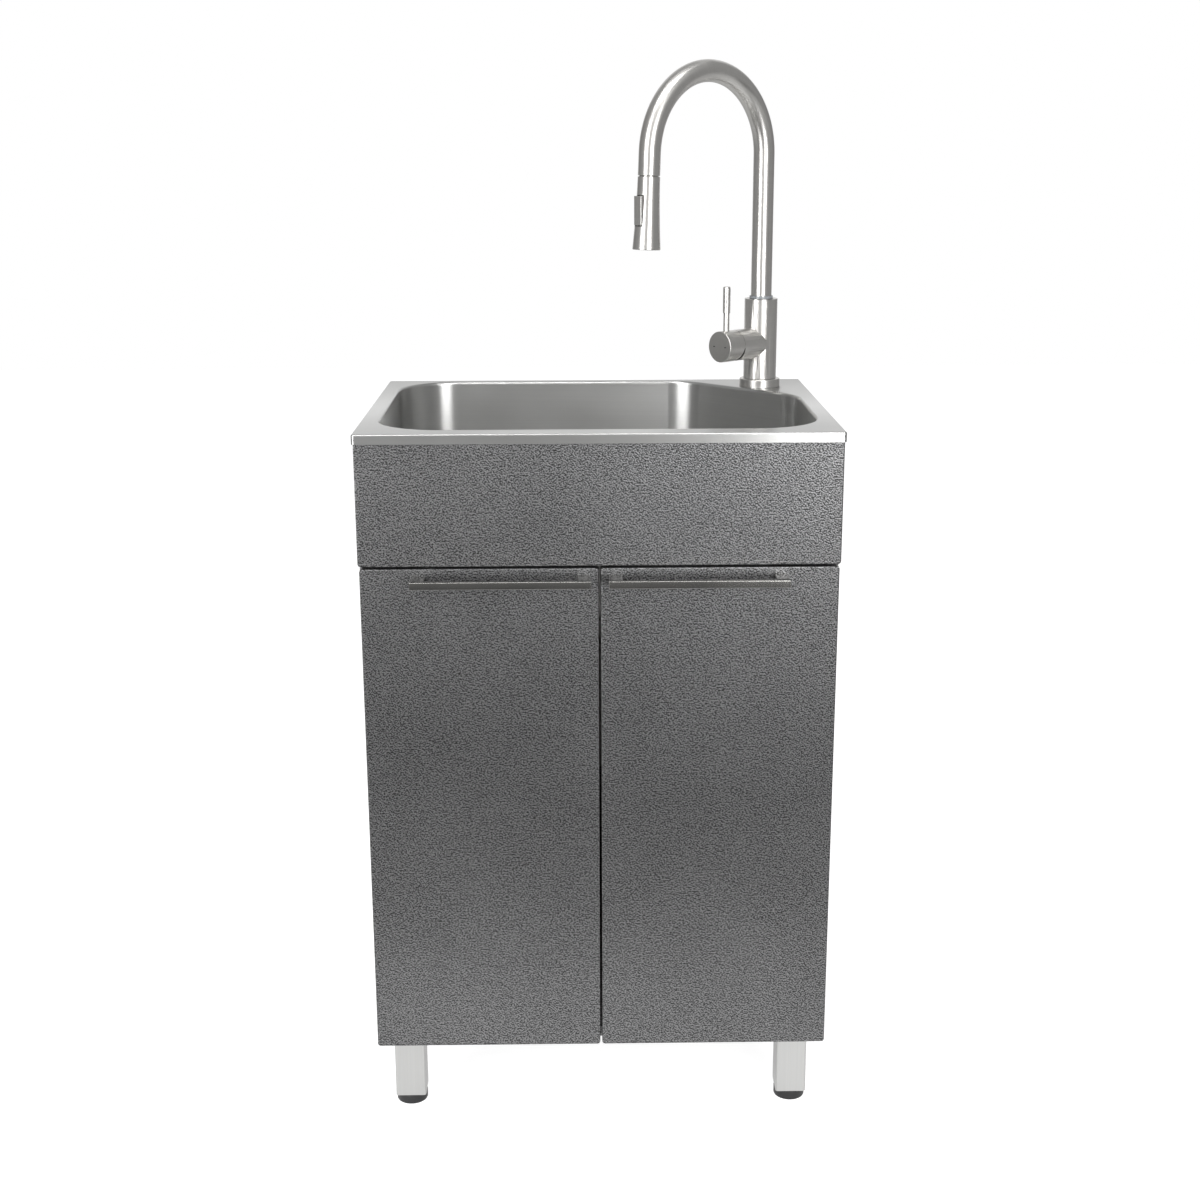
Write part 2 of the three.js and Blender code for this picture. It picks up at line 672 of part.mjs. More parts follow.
/** The strainer: body through the bowl's floor, gasket, locknut, and the basket that lifts out. */
function strainer() {
  const seat = DRAIN_SEAT + GAP;
  const under = DRAIN_SEAT - SHEET - GAP;
  const neck = DRAIN_HOLE - 1.5;
  const body = turned([
    [DRAIN_RECESS - 1.5, seat + 1.5], [DRAIN_RECESS - 1.5, seat], [neck, seat], [neck, 577],
    [STRAINER_TAIL, 562.5], [STRAINER_TAIL, 545], [18, 545], [18, 564.5], [38, 576], [41, 581],
    [41, 612], [42, 624.4], [44.2, 626.6], [52, seat + 2],
  ]);
  const group = assembly(
    piece('strainer_body', body, 'steel'),
    piece('strainer_gasket', ring(DRAIN_RECESS - 1, neck + GAP, under - 3, under), 'rubber'),
    piece('strainer_locknut', cut(
      rod(DRAIN_RECESS + 2, under - 13, under - 3 - GAP, 12),
      rod(neck + GAP, under - 14, under),
    ), 'zinc'),
    piece('strainer_basket', basket(), 'steel'),
    piece('basket_plug', turned([
      [0, 590], [19, 590], [20, 591], [20, 595.4], [4, 595.4],
      [4, 618], [9, 622], [9, 625], [7, 627], [0, 627],
    ]), 'blackPlastic'),
  );
  group.position.set(0, DRAIN_Y, 0);
  return group;
}

/** A thin cup with a rim, slots round its wall and holes in its floor. */
function basket() {
  const cup = turned([
    [4.5, 596], [39.5, 596], [39.5, 622.3], [44.2, 627],
    [43.6, 628.2], [38.3, 622.9], [38.3, 597.2], [4.5, 597.2],
  ]);
  const slots = Array.from({ length: 8 }, (_, k) => block([30, -3, 600], [45, 3, 613])
    .rotateZ((2 * Math.PI * k) / 8));
  const holes = Array.from({ length: 6 }, (_, k) => rod(3.2, 590, 600, 6)
    .translate(28, 0, 0)
    .rotateZ((2 * Math.PI * (k + 0.5)) / 6));
  return cut(cup, ...slots, ...holes);
}

/** An eight-sided nut over two pipes that meet; its bore changes at the shelf. */
function slipNut(low, shelf, high, lowerBore, upperBore) {
  return cut(
    rod(27, low, high, 8),
    rod(lowerBore, low - 1, shelf),
    rod(upperBore, shelf - 0.01, high + 1),
  );
}

/** Tailpiece, trap and trap arm, with the slip nuts at their joints. */
function waste() {
  const tail = turned([
    [PIPE_BORE, 470], [PIPE, 470], [PIPE, 542.7],
    [STRAINER_TAIL, 542.7], [STRAINER_TAIL, 544.7], [PIPE_BORE, 544.7],
  ]);
  const bendCentre = new THREE.Vector3(0, DRAIN_Y + TRAP_BEND, TRAP_LOW);
  const bendRoute = [
    new THREE.Vector3(0, DRAIN_Y, 500),
    ...arc(bendCentre, TRAP_BEND, Y, Z, 180, 360, 8),
    new THREE.Vector3(0, DRAIN_Y + 2 * TRAP_BEND, 470),
  ];
  const elbowCentre = new THREE.Vector3(0, DRAIN_Y + 3 * TRAP_BEND, TRAP_ARM_Z - TRAP_BEND);
  const armRoute = [
    new THREE.Vector3(0, DRAIN_Y + 2 * TRAP_BEND, 450),
    ...arc(elbowCentre, TRAP_BEND, Y, Z, 180, 90, 4),
    new THREE.Vector3(0, CABINET_BACK, TRAP_ARM_Z),
  ];
  const inlet = assembly(
    piece('tailpiece', tail, 'whitePlastic'),
    piece('tailpiece_slip_nut', slipNut(538, 542.4, 557, PIPE + SLIP, STRAINER_TAIL + GAP), 'whitePlastic'),
    piece('trap_inlet_slip_nut', slipNut(488, 501, 504, TRAP_PIPE + SLIP, PIPE + SLIP), 'whitePlastic'),
  );
  inlet.position.set(0, DRAIN_Y, 0);
  const rearNut = slipNut(458, 471, 474, TRAP_PIPE + SLIP, PIPE + SLIP)
    .translate(0, DRAIN_Y + 2 * TRAP_BEND, 0);
  return assembly(
    inlet,
    piece('trap_outlet_slip_nut', rearNut, 'whitePlastic'),
    piece('trap_bend', pipe(bendRoute, X, TRAP_PIPE, TRAP_BORE, PIPE_SIDES), 'whitePlastic'),
    piece('trap_arm', pipe(armRoute, X, PIPE, PIPE_BORE, PIPE_SIDES), 'whitePlastic'),
  );
}

// ---------------------------------------------------------------- tap

/** Lays a piece turned about +Z along the valve's barrel. */
const alongBarrel = (geometry) => geometry.rotateY(Math.PI / 2);

/** The upright body with its side barrel, bored for the spout, the hoses and the cartridge. */
function tapBody() {
  const column = turned([
    [0, FLANGE_HEIGHT + GAP], [BODY_RADIUS, FLANGE_HEIGHT + GAP], [BODY_RADIUS, BODY_TOP - 0.8],
    [BODY_RADIUS - 0.8, BODY_TOP], [0, BODY_TOP],
  ], 32);
  const barrel = alongBarrel(rod(BARREL_RADIUS, 0, BARREL_END, 32)).translate(0, 0, VALVE_Z);
  const well = alongBarrel(rod(BARREL_BORE, BARREL_FLOOR, BARREL_END + 1)).translate(0, 0, VALVE_Z);
  const socket = rod(SPOUT_RADIUS + 0.4, SPOUT_START - GAP, BODY_TOP + 1);
  const waterway = rod(SHANK_BORE - 1.5, 0, BODY_TOP);
  return cut(join(column, barrel), well, socket, waterway);
}

/** The pieces under and over the deck that hold the tap. */
function tapMounting() {
  const under = -SHEET - GAP;
  const bore = SHANK_RADIUS + GAP;
  const nut = join(
    ring(22, bore, under - 17, under - 3 - GAP),
    ...[0, 1, 2].map((wing) => block([19, -2.5, under - 17], [28, 2.5, under - 3 - GAP])
      .rotateZ((2 * Math.PI * wing) / 3)),
  );
  return assembly(
    piece('tap_flange', turned([
      [SHANK_RADIUS + GAP, GAP], [FLANGE_RADIUS, GAP], [FLANGE_RADIUS, FLANGE_HEIGHT - 1.2],
      [FLANGE_RADIUS - 1.2, FLANGE_HEIGHT], [SHANK_RADIUS + GAP, FLANGE_HEIGHT],
    ], 32), 'steel'),
    piece('tap_shank', ring(SHANK_RADIUS, SHANK_BORE, -SHANK_LENGTH, FLANGE_HEIGHT), 'zinc'),
    piece('tap_washer', ring(26, bore, under - 3, under), 'rubber'),
    piece('tap_mounting_nut', nut, 'zinc'),
    piece('spout_collar', ring(
      SPOUT_RADIUS + 1.8,
      SPOUT_RADIUS + 0.4,
      BODY_TOP + GAP,
      BODY_TOP + 3.8,
    ), 'greyPlastic'),
  );
}

/** The route of the spout's centre line in the plane of its arch. */
function spoutRoute(start, straightEnd, steps) {
  const centre = new THREE.Vector3(ARCH_RADIUS, 0, ARCH_HEIGHT);
  const bend = arc(centre, ARCH_RADIUS, X, Z, 180, 180 - ARCH_ANGLE, steps);
  const tip = bend.at(-1).clone().addScaledVector(spoutDirection(), straightEnd);
  return [new THREE.Vector3(0, 0, start), ...bend, tip];
}

/** The way that water leaves the spout. */
function spoutDirection() {
  const angle = THREE.MathUtils.degToRad(ARCH_ANGLE);
  return new THREE.Vector3(Math.sin(angle), 0, Math.cos(angle));
}

/** The arched tube and the hose inside it. */
function spout() {
  const hoseEnd = SPOUT_END - 14.6 - 10;
  const tube = pipe(spoutRoute(SPOUT_START, SPOUT_END, 18), Y, SPOUT_RADIUS, SPOUT_BORE, 16);
  const hose = pipe(spoutRoute(2 - SHANK_LENGTH, hoseEnd, 14), Y, HOSE_RADIUS, 0, 8);
  return assembly(
    piece('spout', tube, 'steel'),
    piece('inner_hose', hose, 'greyPlastic'),
  );
}

/** The tapered shell of the spray head, with the pocket for its button. */
function sprayShell() {
  const shell = turned([
    [11.6, -GAP], [HEAD_TOP_RADIUS - 0.8, -GAP], [HEAD_TOP_RADIUS, -1.2],
    [HEAD_WAIST_RADIUS, -HEAD_WAIST], [HEAD_FLARE_RADIUS, -HEAD_FLARE],
    [HEAD_END_RADIUS, 1.2 - HEAD_LENGTH], [HEAD_END_RADIUS - 1.2, -HEAD_LENGTH],
    [14.9, -HEAD_LENGTH], [14.4, -85], [11.6, -14],
  ], 32);
  const pocket = block(
    [10, -BUTTON_HALF_WIDTH - 0.4, -BUTTON_TOP - BUTTON_LENGTH - 0.8],
    [20, BUTTON_HALF_WIDTH + 0.4, -BUTTON_TOP + 1.2],
  );
  return cut(shell, pocket);
}

/** The rocker that changes the spray: a bar with a curved face, leaning out at its top. */
function sprayButton() {
  const flank = Math.asin(BUTTON_HALF_WIDTH / BUTTON_OUTER);
  const face = Array.from({ length: 7 }, (_, k) => {
    const angle = -flank + (2 * flank * k) / 6;
    return [BUTTON_OUTER * Math.cos(angle), BUTTON_OUTER * Math.sin(angle)];
  });
  const plan = [[BUTTON_INNER, BUTTON_HALF_WIDTH], [BUTTON_INNER, -BUTTON_HALF_WIDTH], ...face];
  const lean = THREE.MathUtils.degToRad(BUTTON_LEAN);
  return upright(plan, -BUTTON_LENGTH, 0)
    .translate(-BUTTON_OUTER, 0, 0)
    .rotateY(lean)
    .translate(BUTTON_OUTER, 0, -BUTTON_TOP);
}

/** The pull-down head, placed at the spout's end and square to it. */
function sprayHead() {
  const neck = 14;
  const group = assembly(
    piece('spray_head', sprayShell(), 'steel'),
    piece('spray_core', turned([
      [0, -84.2], [8, -84.2], [8, -12], [11.2, -12], [11.2, neck - 1], [10.2, neck], [0, neck],
    ]), 'blackPlastic'),
    piece('spray_face', turned([
      [0, -84.5], [14, -84.5], [14.4, -87.4], [11, -87.4],
      [10, -86.6], [4, -86.6], [3, -87.6], [0, -87.6],
    ]), 'greyPlastic'),
    piece('spray_button', sprayButton(), 'steel'),
    piece('spray_hose', rod(HOSE_RADIUS, neck + GAP, neck + 10, 12), 'greyPlastic'),
  );
  const end = spoutRoute(SPOUT_START, SPOUT_END, 1).at(-1);
  group.position.copy(end);
  group.rotation.y = -THREE.MathUtils.degToRad(180 - ARCH_ANGLE);
  return group;
}

/** The lever's round cap: a shell with a hub, its ball-ended stem and a relief under its rear edge. */
function leverCap() {
  const hub = 7;
  const stem = 3.5;
  const ball = 5;
  const inside = BARREL_RADIUS - CAP_WALL;
  const endWall = CAP_END - 4;
  const shell = turned([
    [inside, CAP_START], [BARREL_RADIUS, CAP_START], [BARREL_RADIUS, CAP_END - 0.8],
    [BARREL_RADIUS - 0.8, CAP_END], [0, CAP_END], [0, endWall], [inside, endWall],
  ], 32);
  const boss = turned([
    [0, LEVER_PIVOT - ball], [ball * 0.7, LEVER_PIVOT - ball * 0.7], [ball, LEVER_PIVOT],
    [stem, LEVER_PIVOT + ball * 0.7], [stem, endWall - 11],
    [hub, endWall - 11], [hub, endWall + 1], [0, endWall + 1],
  ], 16);
  const away = BARREL_RADIUS + 2;
  const wedge = sideways([
    [CAP_START - 2, 0], [CAP_START + 0.1, 0],
    [CAP_START + 0.1 + CAP_WEDGE * away, -away], [CAP_START - 2, -away],
  ], -away, away);
  const rodHole = rod(4.2, hub + GAP, away, 16).translate(ROD_ALONG, 0, 0);
  return join(cut(alongBarrel(shell), wedge, rodHole), alongBarrel(boss));
}

/** The cartridge in the barrel, the swivel that turns in its mouth, and the lever. */
function valve() {
  const fit = BARREL_BORE - GAP;
  const group = assembly(
    piece('mixer_cartridge', alongBarrel(rod(fit, BARREL_FLOOR + GAP, 40)), 'greyPlastic'),
    piece('mixer_swivel', alongBarrel(ring(fit, 5.5, 40 + GAP, BARREL_END - 0.4)), 'blackPlastic'),
    piece('lever_cap', leverCap(), 'steel'),
    piece('lever_rod', turned([
      [0, 7.6], [3.9, 7.6], [3.9, ROD_STEP - 0.4], [4.8, ROD_STEP],
      [4.8, ROD_TOP - 0.8], [4.2, ROD_TOP], [0, ROD_TOP],
    ], 16).translate(ROD_ALONG, 0, 0), 'steel'),
  );
  group.position.set(0, 0, VALVE_Z);
  return group;
}

/** The whole tap, turned so that its spout and valve point over the bowl. */
function tap() {
  const group = assembly(
    piece('tap_body', tapBody(), 'steel'),
    tapMounting(),
    spout(),
    sprayHead(),
    valve(),
  );
  group.position.set(TAP_X, TAP_Y, DECK_TOP);
  group.rotation.z = THREE.MathUtils.degToRad(-90 - SPOUT_TURN);
  return group;
}

export default assembly(
  cabinet(),
  legs(),
  doors(),
  piece('sink', sinkSheet(), 'bowlSteel'),
  strainer(),
  waste(),
  tap(),
);
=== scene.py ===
"""A utility laundry sink dressed for a catalogue photograph.

It has a pressed steel sink, a hammer-finish cabinet on four legs and a tap with a pull-down spray head.
"""

import json
import math

import bmesh
import bpy
from bpy.props import FloatProperty, FloatVectorProperty, IntProperty, PointerProperty
from mathutils import Matrix, Vector

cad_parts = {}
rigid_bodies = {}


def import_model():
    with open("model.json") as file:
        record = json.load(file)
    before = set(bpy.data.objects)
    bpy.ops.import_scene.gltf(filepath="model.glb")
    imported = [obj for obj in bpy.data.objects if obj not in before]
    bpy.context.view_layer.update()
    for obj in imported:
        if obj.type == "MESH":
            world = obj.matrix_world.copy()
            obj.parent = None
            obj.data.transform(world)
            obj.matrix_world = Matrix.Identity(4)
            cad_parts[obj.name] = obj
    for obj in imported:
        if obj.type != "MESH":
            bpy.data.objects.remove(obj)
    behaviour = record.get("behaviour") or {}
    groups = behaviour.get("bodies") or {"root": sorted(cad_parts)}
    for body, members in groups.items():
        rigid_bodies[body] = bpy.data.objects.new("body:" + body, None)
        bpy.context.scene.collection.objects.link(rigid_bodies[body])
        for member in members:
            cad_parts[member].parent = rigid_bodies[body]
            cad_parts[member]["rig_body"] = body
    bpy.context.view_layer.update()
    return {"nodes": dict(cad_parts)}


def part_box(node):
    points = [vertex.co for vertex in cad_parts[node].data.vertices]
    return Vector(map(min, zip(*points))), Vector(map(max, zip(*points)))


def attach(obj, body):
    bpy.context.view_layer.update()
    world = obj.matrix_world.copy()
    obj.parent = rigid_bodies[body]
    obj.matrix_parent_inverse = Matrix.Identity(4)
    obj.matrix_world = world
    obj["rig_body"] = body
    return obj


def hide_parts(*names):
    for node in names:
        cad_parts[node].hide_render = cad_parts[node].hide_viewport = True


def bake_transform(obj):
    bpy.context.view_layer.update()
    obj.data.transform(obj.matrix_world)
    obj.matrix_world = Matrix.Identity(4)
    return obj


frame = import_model()

bl_info = {
    "name": "Utility Laundry Sink",
    "version": (1, 0, 0),
    "blender": (4, 5, 0),
    "location": "3D View > Sidebar > Laundry Sink",
    "description": "Builds the finished surfaces of a utility laundry sink round its frame",
    "category": "Object",
}

MM = 0.001
TURN = 2 * math.pi
QUARTER = math.pi / 2
FLAT = 0.01 * MM  # how far a point may lie from a flat that it belongs to

# ------------------------------------------------------------------ places read from the frame


def low(node):
    """The lowest corner of a frame node."""
    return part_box(node)[0]


def high(node):
    """The highest corner of a frame node."""
    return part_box(node)[1]


def middle(node):
    """The middle of a frame node's box."""
    return (low(node) + high(node)) / 2


DECK_TOP = high("sink").z
DECK_HALF_WIDTH = high("sink").x
DECK_FRONT = low("sink").y
DECK_BACK = high("sink").y
DRAIN = Vector((*middle("strainer_body").xy, 0))
TAP = Vector((*middle("tap_flange").xy, DECK_TOP))


# ------------------------------------------------------------------ settings


class SinkSizes(bpy.types.PropertyGroup):
    """Sizes that a user would change."""

    roll: FloatProperty(
        name="Bowl roll", description="Radius of the edge between deck and bowl",
        default=4 * MM, unit="LENGTH",
    )
    fillet: FloatProperty(
        name="Bowl fillet", description="Radius between the bowl's walls and its floor",
        default=40 * MM, unit="LENGTH",
    )
    sheet: FloatProperty(
        name="Sheet", description="Thickness of the pressed steel",
        default=1.5 * MM, unit="LENGTH",
    )
    leg_corner: FloatProperty(
        name="Leg corner", description="Outside corner radius of the square leg tube",
        default=3 * MM, unit="LENGTH",
    )
    handle_edge: FloatProperty(
        name="Handle edge", description="Softened edge of the handle bar",
        default=1.0 * MM, unit="LENGTH",
    )
    board_edge: FloatProperty(
        name="Board edge", description="Softened edge of the doors and boards",
        default=1.0 * MM, unit="LENGTH",
    )
    turned_steps: IntProperty(
        name="Turned steps", description="Sides of a turned piece",
        default=72, min=24, max=128,
    )


class SinkFinishes(bpy.types.PropertyGroup):
    """Colours and gloss of the finishes."""

    pewter: FloatVectorProperty(
        name="Pewter", description="Hammered grey coat of the cabinet",
        subtype="COLOR", default=(0.178, 0.178, 0.18), min=0, max=1,
    )
    steel: FloatVectorProperty(
        name="Tap steel", description="Brushed stainless steel of the tap",
        subtype="COLOR", default=(0.6, 0.59, 0.57), min=0, max=1,
    )
    sink_steel: FloatVectorProperty(
        name="Sink steel", description="Satin stainless steel of the deck and bowl",
        subtype="COLOR", default=(0.53, 0.53, 0.522), min=0, max=1,
    )
    handle_steel: FloatVectorProperty(
        name="Handle steel", description="Darker brushed steel of the door handles",
        subtype="COLOR", default=(0.35, 0.345, 0.33), min=0, max=1,
    )
    zinc: FloatVectorProperty(
        name="Zinc", description="Plated hinges and nuts",
        subtype="COLOR", default=(0.5, 0.51, 0.53), min=0, max=1,
    )
    white: FloatVectorProperty(
        name="White plastic", description="Waste pipes",
        subtype="COLOR", default=(0.78, 0.78, 0.76), min=0, max=1,
    )
    black: FloatVectorProperty(
        name="Black plastic", description="Glides, spray core and basket plug",
        subtype="COLOR", default=(0.016, 0.016, 0.017), min=0, max=1,
    )
    grey: FloatVectorProperty(
        name="Grey plastic", description="Spray face, spout ring and cartridge",
        subtype="COLOR", default=(0.09, 0.095, 0.1), min=0, max=1,
    )
    hammer_pitch: FloatProperty(
        name="Hammer pitch", description="Width of one dimple of the hammered coat",
        default=1.8 * MM, unit="LENGTH",
    )


# ------------------------------------------------------------------ shader maths


class Wire:
    """A value in a material: arithmetic on it adds Math nodes."""

    def __init__(self, tree, socket):
        self.tree = tree
        self.socket = socket

    @staticmethod
    def node(tree, kind, settings=None, output=0, **inputs):
        """Adds a node, makes its settings, then fills its sockets with numbers or wires."""
        made = tree.nodes.new("ShaderNode" + kind)
        for name, value in (settings or {}).items():
            setattr(made, name, value)
        for name, value in inputs.items():
            key = int(name[1:]) if name[0] == "i" and name[1:].isdigit() else name.replace("_", " ")
            socket = made.inputs[key]
            if isinstance(value, Wire):
                tree.links.new(value.socket, socket)
            else:
                socket.default_value = value
        return Wire(tree, made.outputs[output] if made.outputs else None)

    def math(self, operation, *others, clamp=False):
        """One Math node on this value and others."""
        inputs = {f"i{k}": value for k, value in enumerate((self, *others))}
        return Wire.node(self.tree, "Math", {"operation": operation, "use_clamp": clamp}, **inputs)

    def __add__(self, other):
        return self.math("ADD", other)

    __radd__ = __add__

    def __sub__(self, other):
        return self.math("SUBTRACT", other)

    def __rsub__(self, other):
        return Wire.node(self.tree, "Math", {"operation": "SUBTRACT"}, i0=other, i1=self)

    def __mul__(self, other):
        return self.math("MULTIPLY", other)

    __rmul__ = __mul__

    def clipped(self):
        """This value kept between 0 and 1."""
        return self.math("ADD", 0.0, clamp=True)

    def eased(self, start, end):
        """0 before start and 1 after end, smooth between."""
        return Wire.node(
            self.tree, "MapRange", {"interpolation_type": "SMOOTHSTEP"},
            Value=self, From_Min=start, From_Max=end,
        )

    def mixed(self, first, second):
        """The colour that goes from first to second as this value goes from 0 to 1."""
        return Wire.node(
            self.tree, "Mix", {"data_type": "RGBA"}, output=2, i0=self,
            i6=first if isinstance(first, Wire) else (*first, 1),
            i7=second if isinstance(second, Wire) else (*second, 1),
        )


class Paint:
    """A material on its way: its coordinates, patterns and one glossy shader."""

    def __init__(self, name):
        self.material = bpy.data.materials.new(name)
        self.material.use_nodes = True
        self.tree = self.material.node_tree
        self.tree.nodes.clear()

    def node(self, kind, settings=None, output=0, **inputs):
        return Wire.node(self.tree, kind, settings, output, **inputs)

    def place(self, stretch=1):
        """The point on the piece in metres, or stretched."""
        at = self.node("TexCoord", output=3)
        return self.node("Mapping", Vector=at, Scale=(stretch, stretch, stretch))

    def noise(self, at, scale=1.0, detail=2.0, rough=0.5):
        return self.node("TexNoise", Vector=at, Scale=scale, Detail=detail, Roughness=rough)

    def crimped(self, at, size):
        """Noise of one size only: twice a noise, less itself moved up and less itself moved aside, which
        shades it like an emboss lit from above and from one side.
        """
        step, contrast = 0.55 * size, 1.35
        up = self.summed(at, (0, 0, step))
        aside = self.summed(at, (step, step, 0))
        here, above, beside = (self.noise(point, 1 / size, detail=0.0) for point in (at, up, aside))
        return ((here * 2 - above - beside) * contrast + 0.5).clipped()

    def stored(self, name):
        """A number kept on the mesh's points."""
        return self.node("Attribute", {"attribute_name": name}, output=2)

    def vector(self, x, y, z):
        return self.node("CombineXYZ", X=x, Y=y, Z=z)

    def summed(self, first, second):
        return self.node("VectorMath", {"operation": "ADD"}, i0=first, i1=second)

    def bump(self, height, depth):
        """Raises the surface by height times depth, in metres."""
        return self.node("Bump", Height=height, Distance=depth, Strength=1.0)

    def finish(self, colour, roughness, normal, metallic=0.0, **constants):
        """Ends the material with one shader and returns it."""
        shader = self.node(
            "BsdfPrincipled", Base_Color=colour, Roughness=roughness, Metallic=metallic,
            Normal=normal, **constants,
        )
        self.node("OutputMaterial", Surface=shader)
        return self.material


def shade(colour, factor):
    """A colour made lighter or darker."""
    return tuple(min(1.0, part * factor) for part in colour)


# ------------------------------------------------------------------ materials


def hammered_coat():
    """Grey hammer-finish coat: a web of small soft ridges that catch the light, whose highlights and shade
    are also painted into its colour.
    """
    finishes = bpy.context.scene.sink_finishes
    colour = tuple(finishes.pewter)
    paint = Paint("hammered_pewter")
    at = paint.place()
    ridges_and_painted_light = paint.crimped(at, finishes.hammer_pitch)
    broad = paint.noise(at, 9.0)
    tone = (ridges_and_painted_light * 0.9 + broad * 0.1).clipped()
    # Painted highlight and shade: the embossed ridges set the colour from a tenth of the pewter in their pits
    # to 1.4 times it on their lit tops.
    mottled = tone.mixed(shade(colour, 0.1), shade(colour, 1.4))
    gloss = 0.38 + broad * 0.06 - ridges_and_painted_light * 0.04
    return paint.finish(
        mottled, gloss, paint.bump(ridges_and_painted_light, 0.1 * MM), metallic=0.86, Coat_Weight=0.15, Coat_Roughness=0.3,
    )


def brushed(name, colour, roughness, depth=0.006, along=0.6):
    """Brushed steel: fine lines square to the stored distance 'across', which smear lights across them."""
    paint = Paint(name)
    across = paint.stored("across")
    drift = paint.place(stretch=5)

    def lines(spread, **noise):
        return paint.noise(paint.summed(drift, paint.vector(spread, 0.0, 0.0)), **noise)

    scratches = across * 700.0
    fine = lines(scratches, detail=3.0, rough=0.6)
    coarse = lines(scratches * 0.22)
    clouds = paint.noise(paint.place(), 11.0, detail=3.0, rough=0.6)
    lifted = paint.bump(fine * 0.7 + coarse * 0.3, depth * MM)
    tone = (fine * 0.5 + coarse * 0.3 + clouds * 0.2).clipped()
    streaked = tone.mixed(shade(colour, 0.88), shade(colour, 1.1))
    gloss = roughness + (clouds - 0.5) * 0.1 + (coarse - 0.5) * 0.04
    return paint.finish(
        streaked, gloss, lifted, metallic=1.0, Anisotropic=along, Anisotropic_Rotation=0.25,
    )


def plated(name, colour):
    """Zinc plate: faint crystals, a soft grain and uneven gloss."""
    paint = Paint(name)
    at = paint.place()
    crystals = paint.node("TexVoronoi", {"feature": "F1"}, Vector=at, Scale=420.0, Randomness=1.0)
    grain = paint.noise(at, 1500.0, detail=2.0)
    clouds = paint.noise(at, 60.0, detail=2.0)
    tone = (crystals * 0.35 + clouds * 0.5 + 0.05).clipped()
    mottled = tone.mixed(shade(colour, 0.82), shade(colour, 1.12))
    lifted = paint.bump(grain + crystals * 0.4, 0.012 * MM)
    return paint.finish(mottled, 0.26 + clouds * 0.14, lifted, metallic=1.0)


def moulded(name, colour, roughness, grain=900.0, depth=0.03):
    """Moulded plastic or rubber: a fine spark-eroded skin with a little unevenness."""
    paint = Paint(name)
    at = paint.place()
    skin = paint.noise(at, grain, detail=2.0, rough=0.6)
    sink_marks = paint.noise(at, 45.0, detail=1.0)
    tone = (skin * 0.35 + sink_marks * 0.65).clipped()
    mottled = tone.mixed(shade(colour, 0.84), shade(colour, 1.14))
    lifted = paint.bump(skin + sink_marks * 0.3, depth * MM)
    return paint.finish(mottled, roughness + skin * 0.12 - 0.06, lifted)


def braided_sleeve():
    """The grey nylon sleeve of the hoses: two sets of strands crossing round the tube, with painted shade in
    the gaps between them.
    """
    paint = Paint("braided_sleeve")
    along = paint.stored("along")
    around = paint.stored("around")
    strands, slant = 24, 2600
    left = (around * strands + along * slant).math("SINE")
    right = (around * strands - along * slant).math("SINE")
    tone = (left.math("MAXIMUM", right) * 0.5 + 0.5).clipped()
    # Painted shade: the colour is darkest in the gaps where neither set of strands rises, and lightest on
    # their crests.
    woven_with_painted_shade = tone.mixed((0.09, 0.095, 0.1), (0.34, 0.35, 0.36))
    return paint.finish(woven_with_painted_shade, 0.5 - tone * 0.14, paint.bump(tone, 0.25 * MM))


class Finishes:
    """Every material, made once and found by its short name."""

    made = {}

    @classmethod
    def get(cls, name):
        if name not in cls.made:
            cls.made[name] = cls.make(name)
        return cls.made[name]

    @staticmethod
    def make(name):
        colours = bpy.context.scene.sink_finishes
        steel, sink, handle = (tuple(c) for c in (colours.steel, colours.sink_steel, colours.handle_steel))
        black, white, grey = (tuple(c) for c in (colours.black, colours.white, colours.grey))
        makers = {
            "pewter": hammered_coat,
            "tap_steel": lambda: brushed("brushed_tap_steel", steel, 0.34, depth=0.004),
            "sink_steel": lambda: brushed("satin_sink_steel", sink, 0.31, along=0.85),
            "leg_steel": lambda: brushed("satin_leg_steel", sink, 0.32),
            "handle_steel": lambda: brushed("brushed_handle_steel", handle, 0.18, depth=0.001, along=0.0),
            "zinc": lambda: plated("zinc_plate", tuple(colours.zinc)),
            "black": lambda: moulded("black_plastic", black, 0.42),
            "white": lambda: moulded("white_pipe", white, 0.32, grain=500.0, depth=0.015),
            "grey": lambda: moulded("grey_plastic", grey, 0.4),
            "ring": lambda: moulded("spout_ring", shade(grey, 2.4), 0.16, depth=0.01),
            "rubber": lambda: moulded("black_rubber", (0.02, 0.02, 0.021), 0.62, grain=700.0, depth=0.04),
            "braid": braided_sleeve,
        }
        return makers[name]()


# ------------------------------------------------------------------ modelling by hand


def only(obj):
    """Selects one object alone and makes it active."""
    bpy.ops.object.select_all(action="DESELECT")
    obj.select_set(True)
    bpy.context.view_layer.objects.active = obj
    return obj


def into_edit(mode="FACE"):
    bpy.ops.object.mode_set(mode="EDIT")
    bpy.ops.mesh.select_mode(type=mode)


def out_of_edit():
    bpy.ops.object.mode_set(mode="OBJECT")
    return bpy.context.active_object


def pick(test, kind="faces"):
    """In edit mode, selects only the faces, edges or verts that pass the test."""
    bpy.ops.mesh.select_mode(type={"faces": "FACE", "edges": "EDGE", "verts": "VERT"}[kind])
    bpy.ops.mesh.select_all(action="DESELECT")
    mesh = bmesh.from_edit_mesh(bpy.context.edit_object.data)
    found = 0
    for element in getattr(mesh, kind):
        if test(element):
            element.select_set(True)
            found += 1
    if not found:
        raise RuntimeError(f"nothing to select on {bpy.context.edit_object.name}")
    mesh.select_flush_mode()
    bmesh.update_edit_mesh(bpy.context.edit_object.data)
    return found


def face_middle(face):
    return face.calc_center_median()


def climb(edge):
    """How far an edge climbs."""
    return abs(edge.verts[0].co.z - edge.verts[1].co.z)


